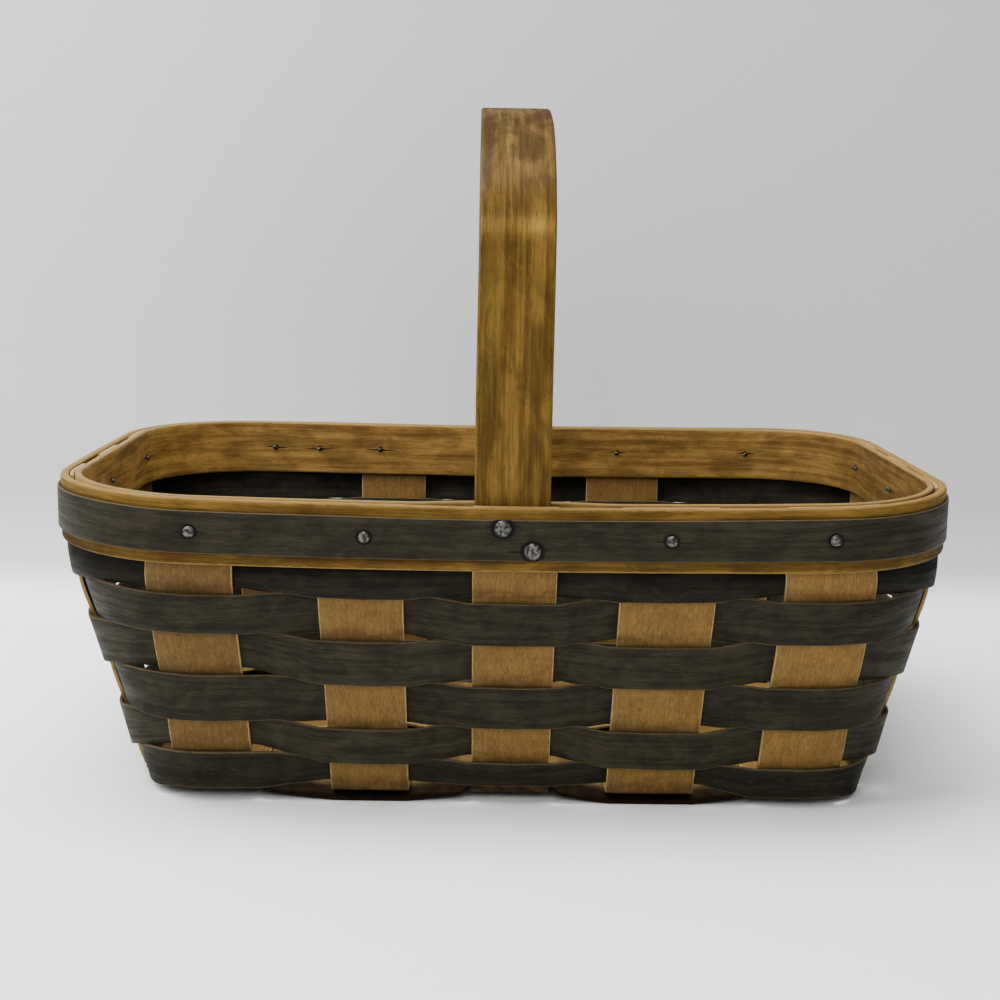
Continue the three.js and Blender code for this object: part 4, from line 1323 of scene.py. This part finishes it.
class BASKET_OT_stage(bpy.types.Operator):
    """Set the camera, the pale floor and the soft lights"""
    bl_idname = "basket.stage"
    bl_label = "Stage"

    def execute(self, context):
        scene = context.scene
        stage = scene.stage_sizes
        self.place_camera(scene, stage)
        self.lay_floor(scene.basket_colours, stage)
        self.hang_lights(scene, stage)
        return {"FINISHED"}

    def place_camera(self, scene, stage):
        data = bpy.data.cameras.new("Camera")
        data.sensor_width = 36
        data.lens = stage.camera_lens
        camera = bpy.data.objects.new("Camera", data)
        scene.collection.objects.link(camera)
        turn = (Matrix.Rotation(-stage.camera_yaw, 4, "Z")
                @ Matrix.Rotation(math.pi / 2 - stage.camera_pitch, 4, "X")
                @ Matrix.Rotation(stage.camera_roll, 4, "Z"))
        place = (stage.camera_x, stage.camera_y, stage.camera_z)
        camera.matrix_world = Matrix.Translation(place) @ turn
        scene.camera = camera

    def lay_floor(self, tints, stage):
        mesh = bmesh.new()
        bmesh.ops.create_grid(mesh, x_segments=1, y_segments=1, size=stage.floor_reach)
        bmesh.ops.translate(mesh, vec=(0, stage.backdrop_y - stage.floor_reach, 0),
                            verts=mesh.verts)
        back = [edge for edge in mesh.edges
                if all(vert.co.y > stage.backdrop_y - MM for vert in edge.verts)]
        raised = bmesh.ops.extrude_edge_only(mesh, edges=back)["geom"]
        bmesh.ops.translate(mesh, vec=(0, 0, stage.floor_reach),
                            verts=[item for item in raised if isinstance(item, bmesh.types.BMVert)])
        bmesh.ops.bevel(mesh, geom=back, offset=stage.sweep_radius, offset_type="OFFSET",
                        segments=16, profile=0.5, affect="EDGES", material=-1)
        bmesh.ops.recalc_face_normals(mesh, faces=mesh.faces[:])
        if max(mesh.faces, key=lambda face: abs(face.normal.z)).normal.z < 0:
            bmesh.ops.reverse_faces(mesh, faces=mesh.faces[:])
        beyond = bmesh.new()
        bmesh.ops.create_grid(beyond, x_segments=1, y_segments=1, size=stage.floor_reach)
        reach = stage.backdrop_y - stage.sweep_radius + stage.floor_reach
        bmesh.ops.translate(beyond, vec=(0, reach, 0), verts=beyond.verts)
        paper = self.paper(tints, stage.sweep_radius)
        for floor in (finished("floor", mesh), finished("floor_beyond", beyond)):
            floor.data.materials.append(paper)

    def paper(self, tints, turn):
        """Pale paper, greyer where it rises behind the basket and clear from its back."""
        material, nodes, shader = new_material("Paper")
        place = nodes.put("TexCoord")["Object"]
        soft = nodes.put("TexNoise", {"Vector": place, "Scale": 5.0, "Detail": 2.0})[0]
        height = nodes.put("SeparateXYZ", {0: place})["Z"]
        base = nodes.mixed(nodes.remap(height, 0.0, 0.4 * turn), tints.floor, tints.backdrop)
        base = nodes.mixed(nodes.times(soft, 0.05), base, (0.5, 0.5, 0.5))
        behind = nodes.put("NewGeometry")["Backfacing"]
        nodes.fill(shader, {"Base Color": base, "Alpha": nodes.minus(1.0, behind),
                            "Roughness": 0.6, "Specular IOR Level": 0.3})
        return material

    def hang_lights(self, scene, stage):
        lights = (
            ("Overhead", stage.overhead_power, (1.5, 1.3), (-0.26, 0.28, 1.1), (0, 0, 0), 180),
            ("Side", stage.side_power, (0.5, 0.5), (-1.3, -0.4, 0.9), (-0.4, 0.26, 0.35), 50),
            ("Front fill", stage.front_power, (0.9, 0.5), (-0.15, -1.15, 0.75), (0, 0, 0.1), 180),
        )
        for name, power, size, place, aim, spread in lights:
            data = bpy.data.lights.new(name, "AREA")
            data.shape = "RECTANGLE"
            data.size, data.size_y = size
            data.spread = math.radians(spread)
            data.energy = power
            lamp = bpy.data.objects.new(name, data)
            scene.collection.objects.link(lamp)
            lamp.location = place
            away = Vector(place) - Vector(aim)
            lamp.rotation_euler = away.to_track_quat("Z", "Y").to_euler()
        world = bpy.data.worlds.new("Room")
        world.use_nodes = True
        background = world.node_tree.nodes["Background"]
        background.inputs["Color"].default_value = (0.93, 0.96, 1.0, 1.0)
        background.inputs["Strength"].default_value = stage.sky_strength
        scene.world = world


class BASKET_PT_panel(bpy.types.Panel):
    """Sizes, colours and steps of the basket"""
    bl_idname = "BASKET_PT_panel"
    bl_label = "Gathering basket"
    bl_space_type = "VIEW_3D"
    bl_region_type = "UI"
    bl_category = "Basket"

    def draw(self, context):
        for step in STEPS:
            self.layout.operator(step.bl_idname)
        for key, kind in SETTINGS.items():
            box = self.layout.box()
            settings = getattr(context.scene, key)
            for name in kind.__annotations__:
                box.prop(settings, name)


SETTINGS = {
    "basket_sizes": BasketSizes,
    "splint_sizes": SplintSizes,
    "tack_sizes": TackSizes,
    "basket_colours": BasketColours,
    "stage_sizes": StageSizes,
}
STEPS = (BASKET_OT_stage, BASKET_OT_stakes, BASKET_OT_fillers, BASKET_OT_weavers,
         BASKET_OT_bands, BASKET_OT_handle, BASKET_OT_tacks)


def register():
    for kind in (*SETTINGS.values(), *STEPS, BASKET_PT_panel):
        bpy.utils.register_class(kind)
    for key, kind in SETTINGS.items():
        setattr(bpy.types.Scene, key, PointerProperty(type=kind))


def unregister():
    for key in SETTINGS:
        delattr(bpy.types.Scene, key)
    for kind in (BASKET_PT_panel, *reversed(STEPS), *reversed(tuple(SETTINGS.values()))):
        bpy.utils.unregister_class(kind)


def main():
    register()
    for step in STEPS:
        family, name = step.bl_idname.split(".")
        getattr(getattr(bpy.ops, family), name)()


if __name__ == "__main__":
    main()
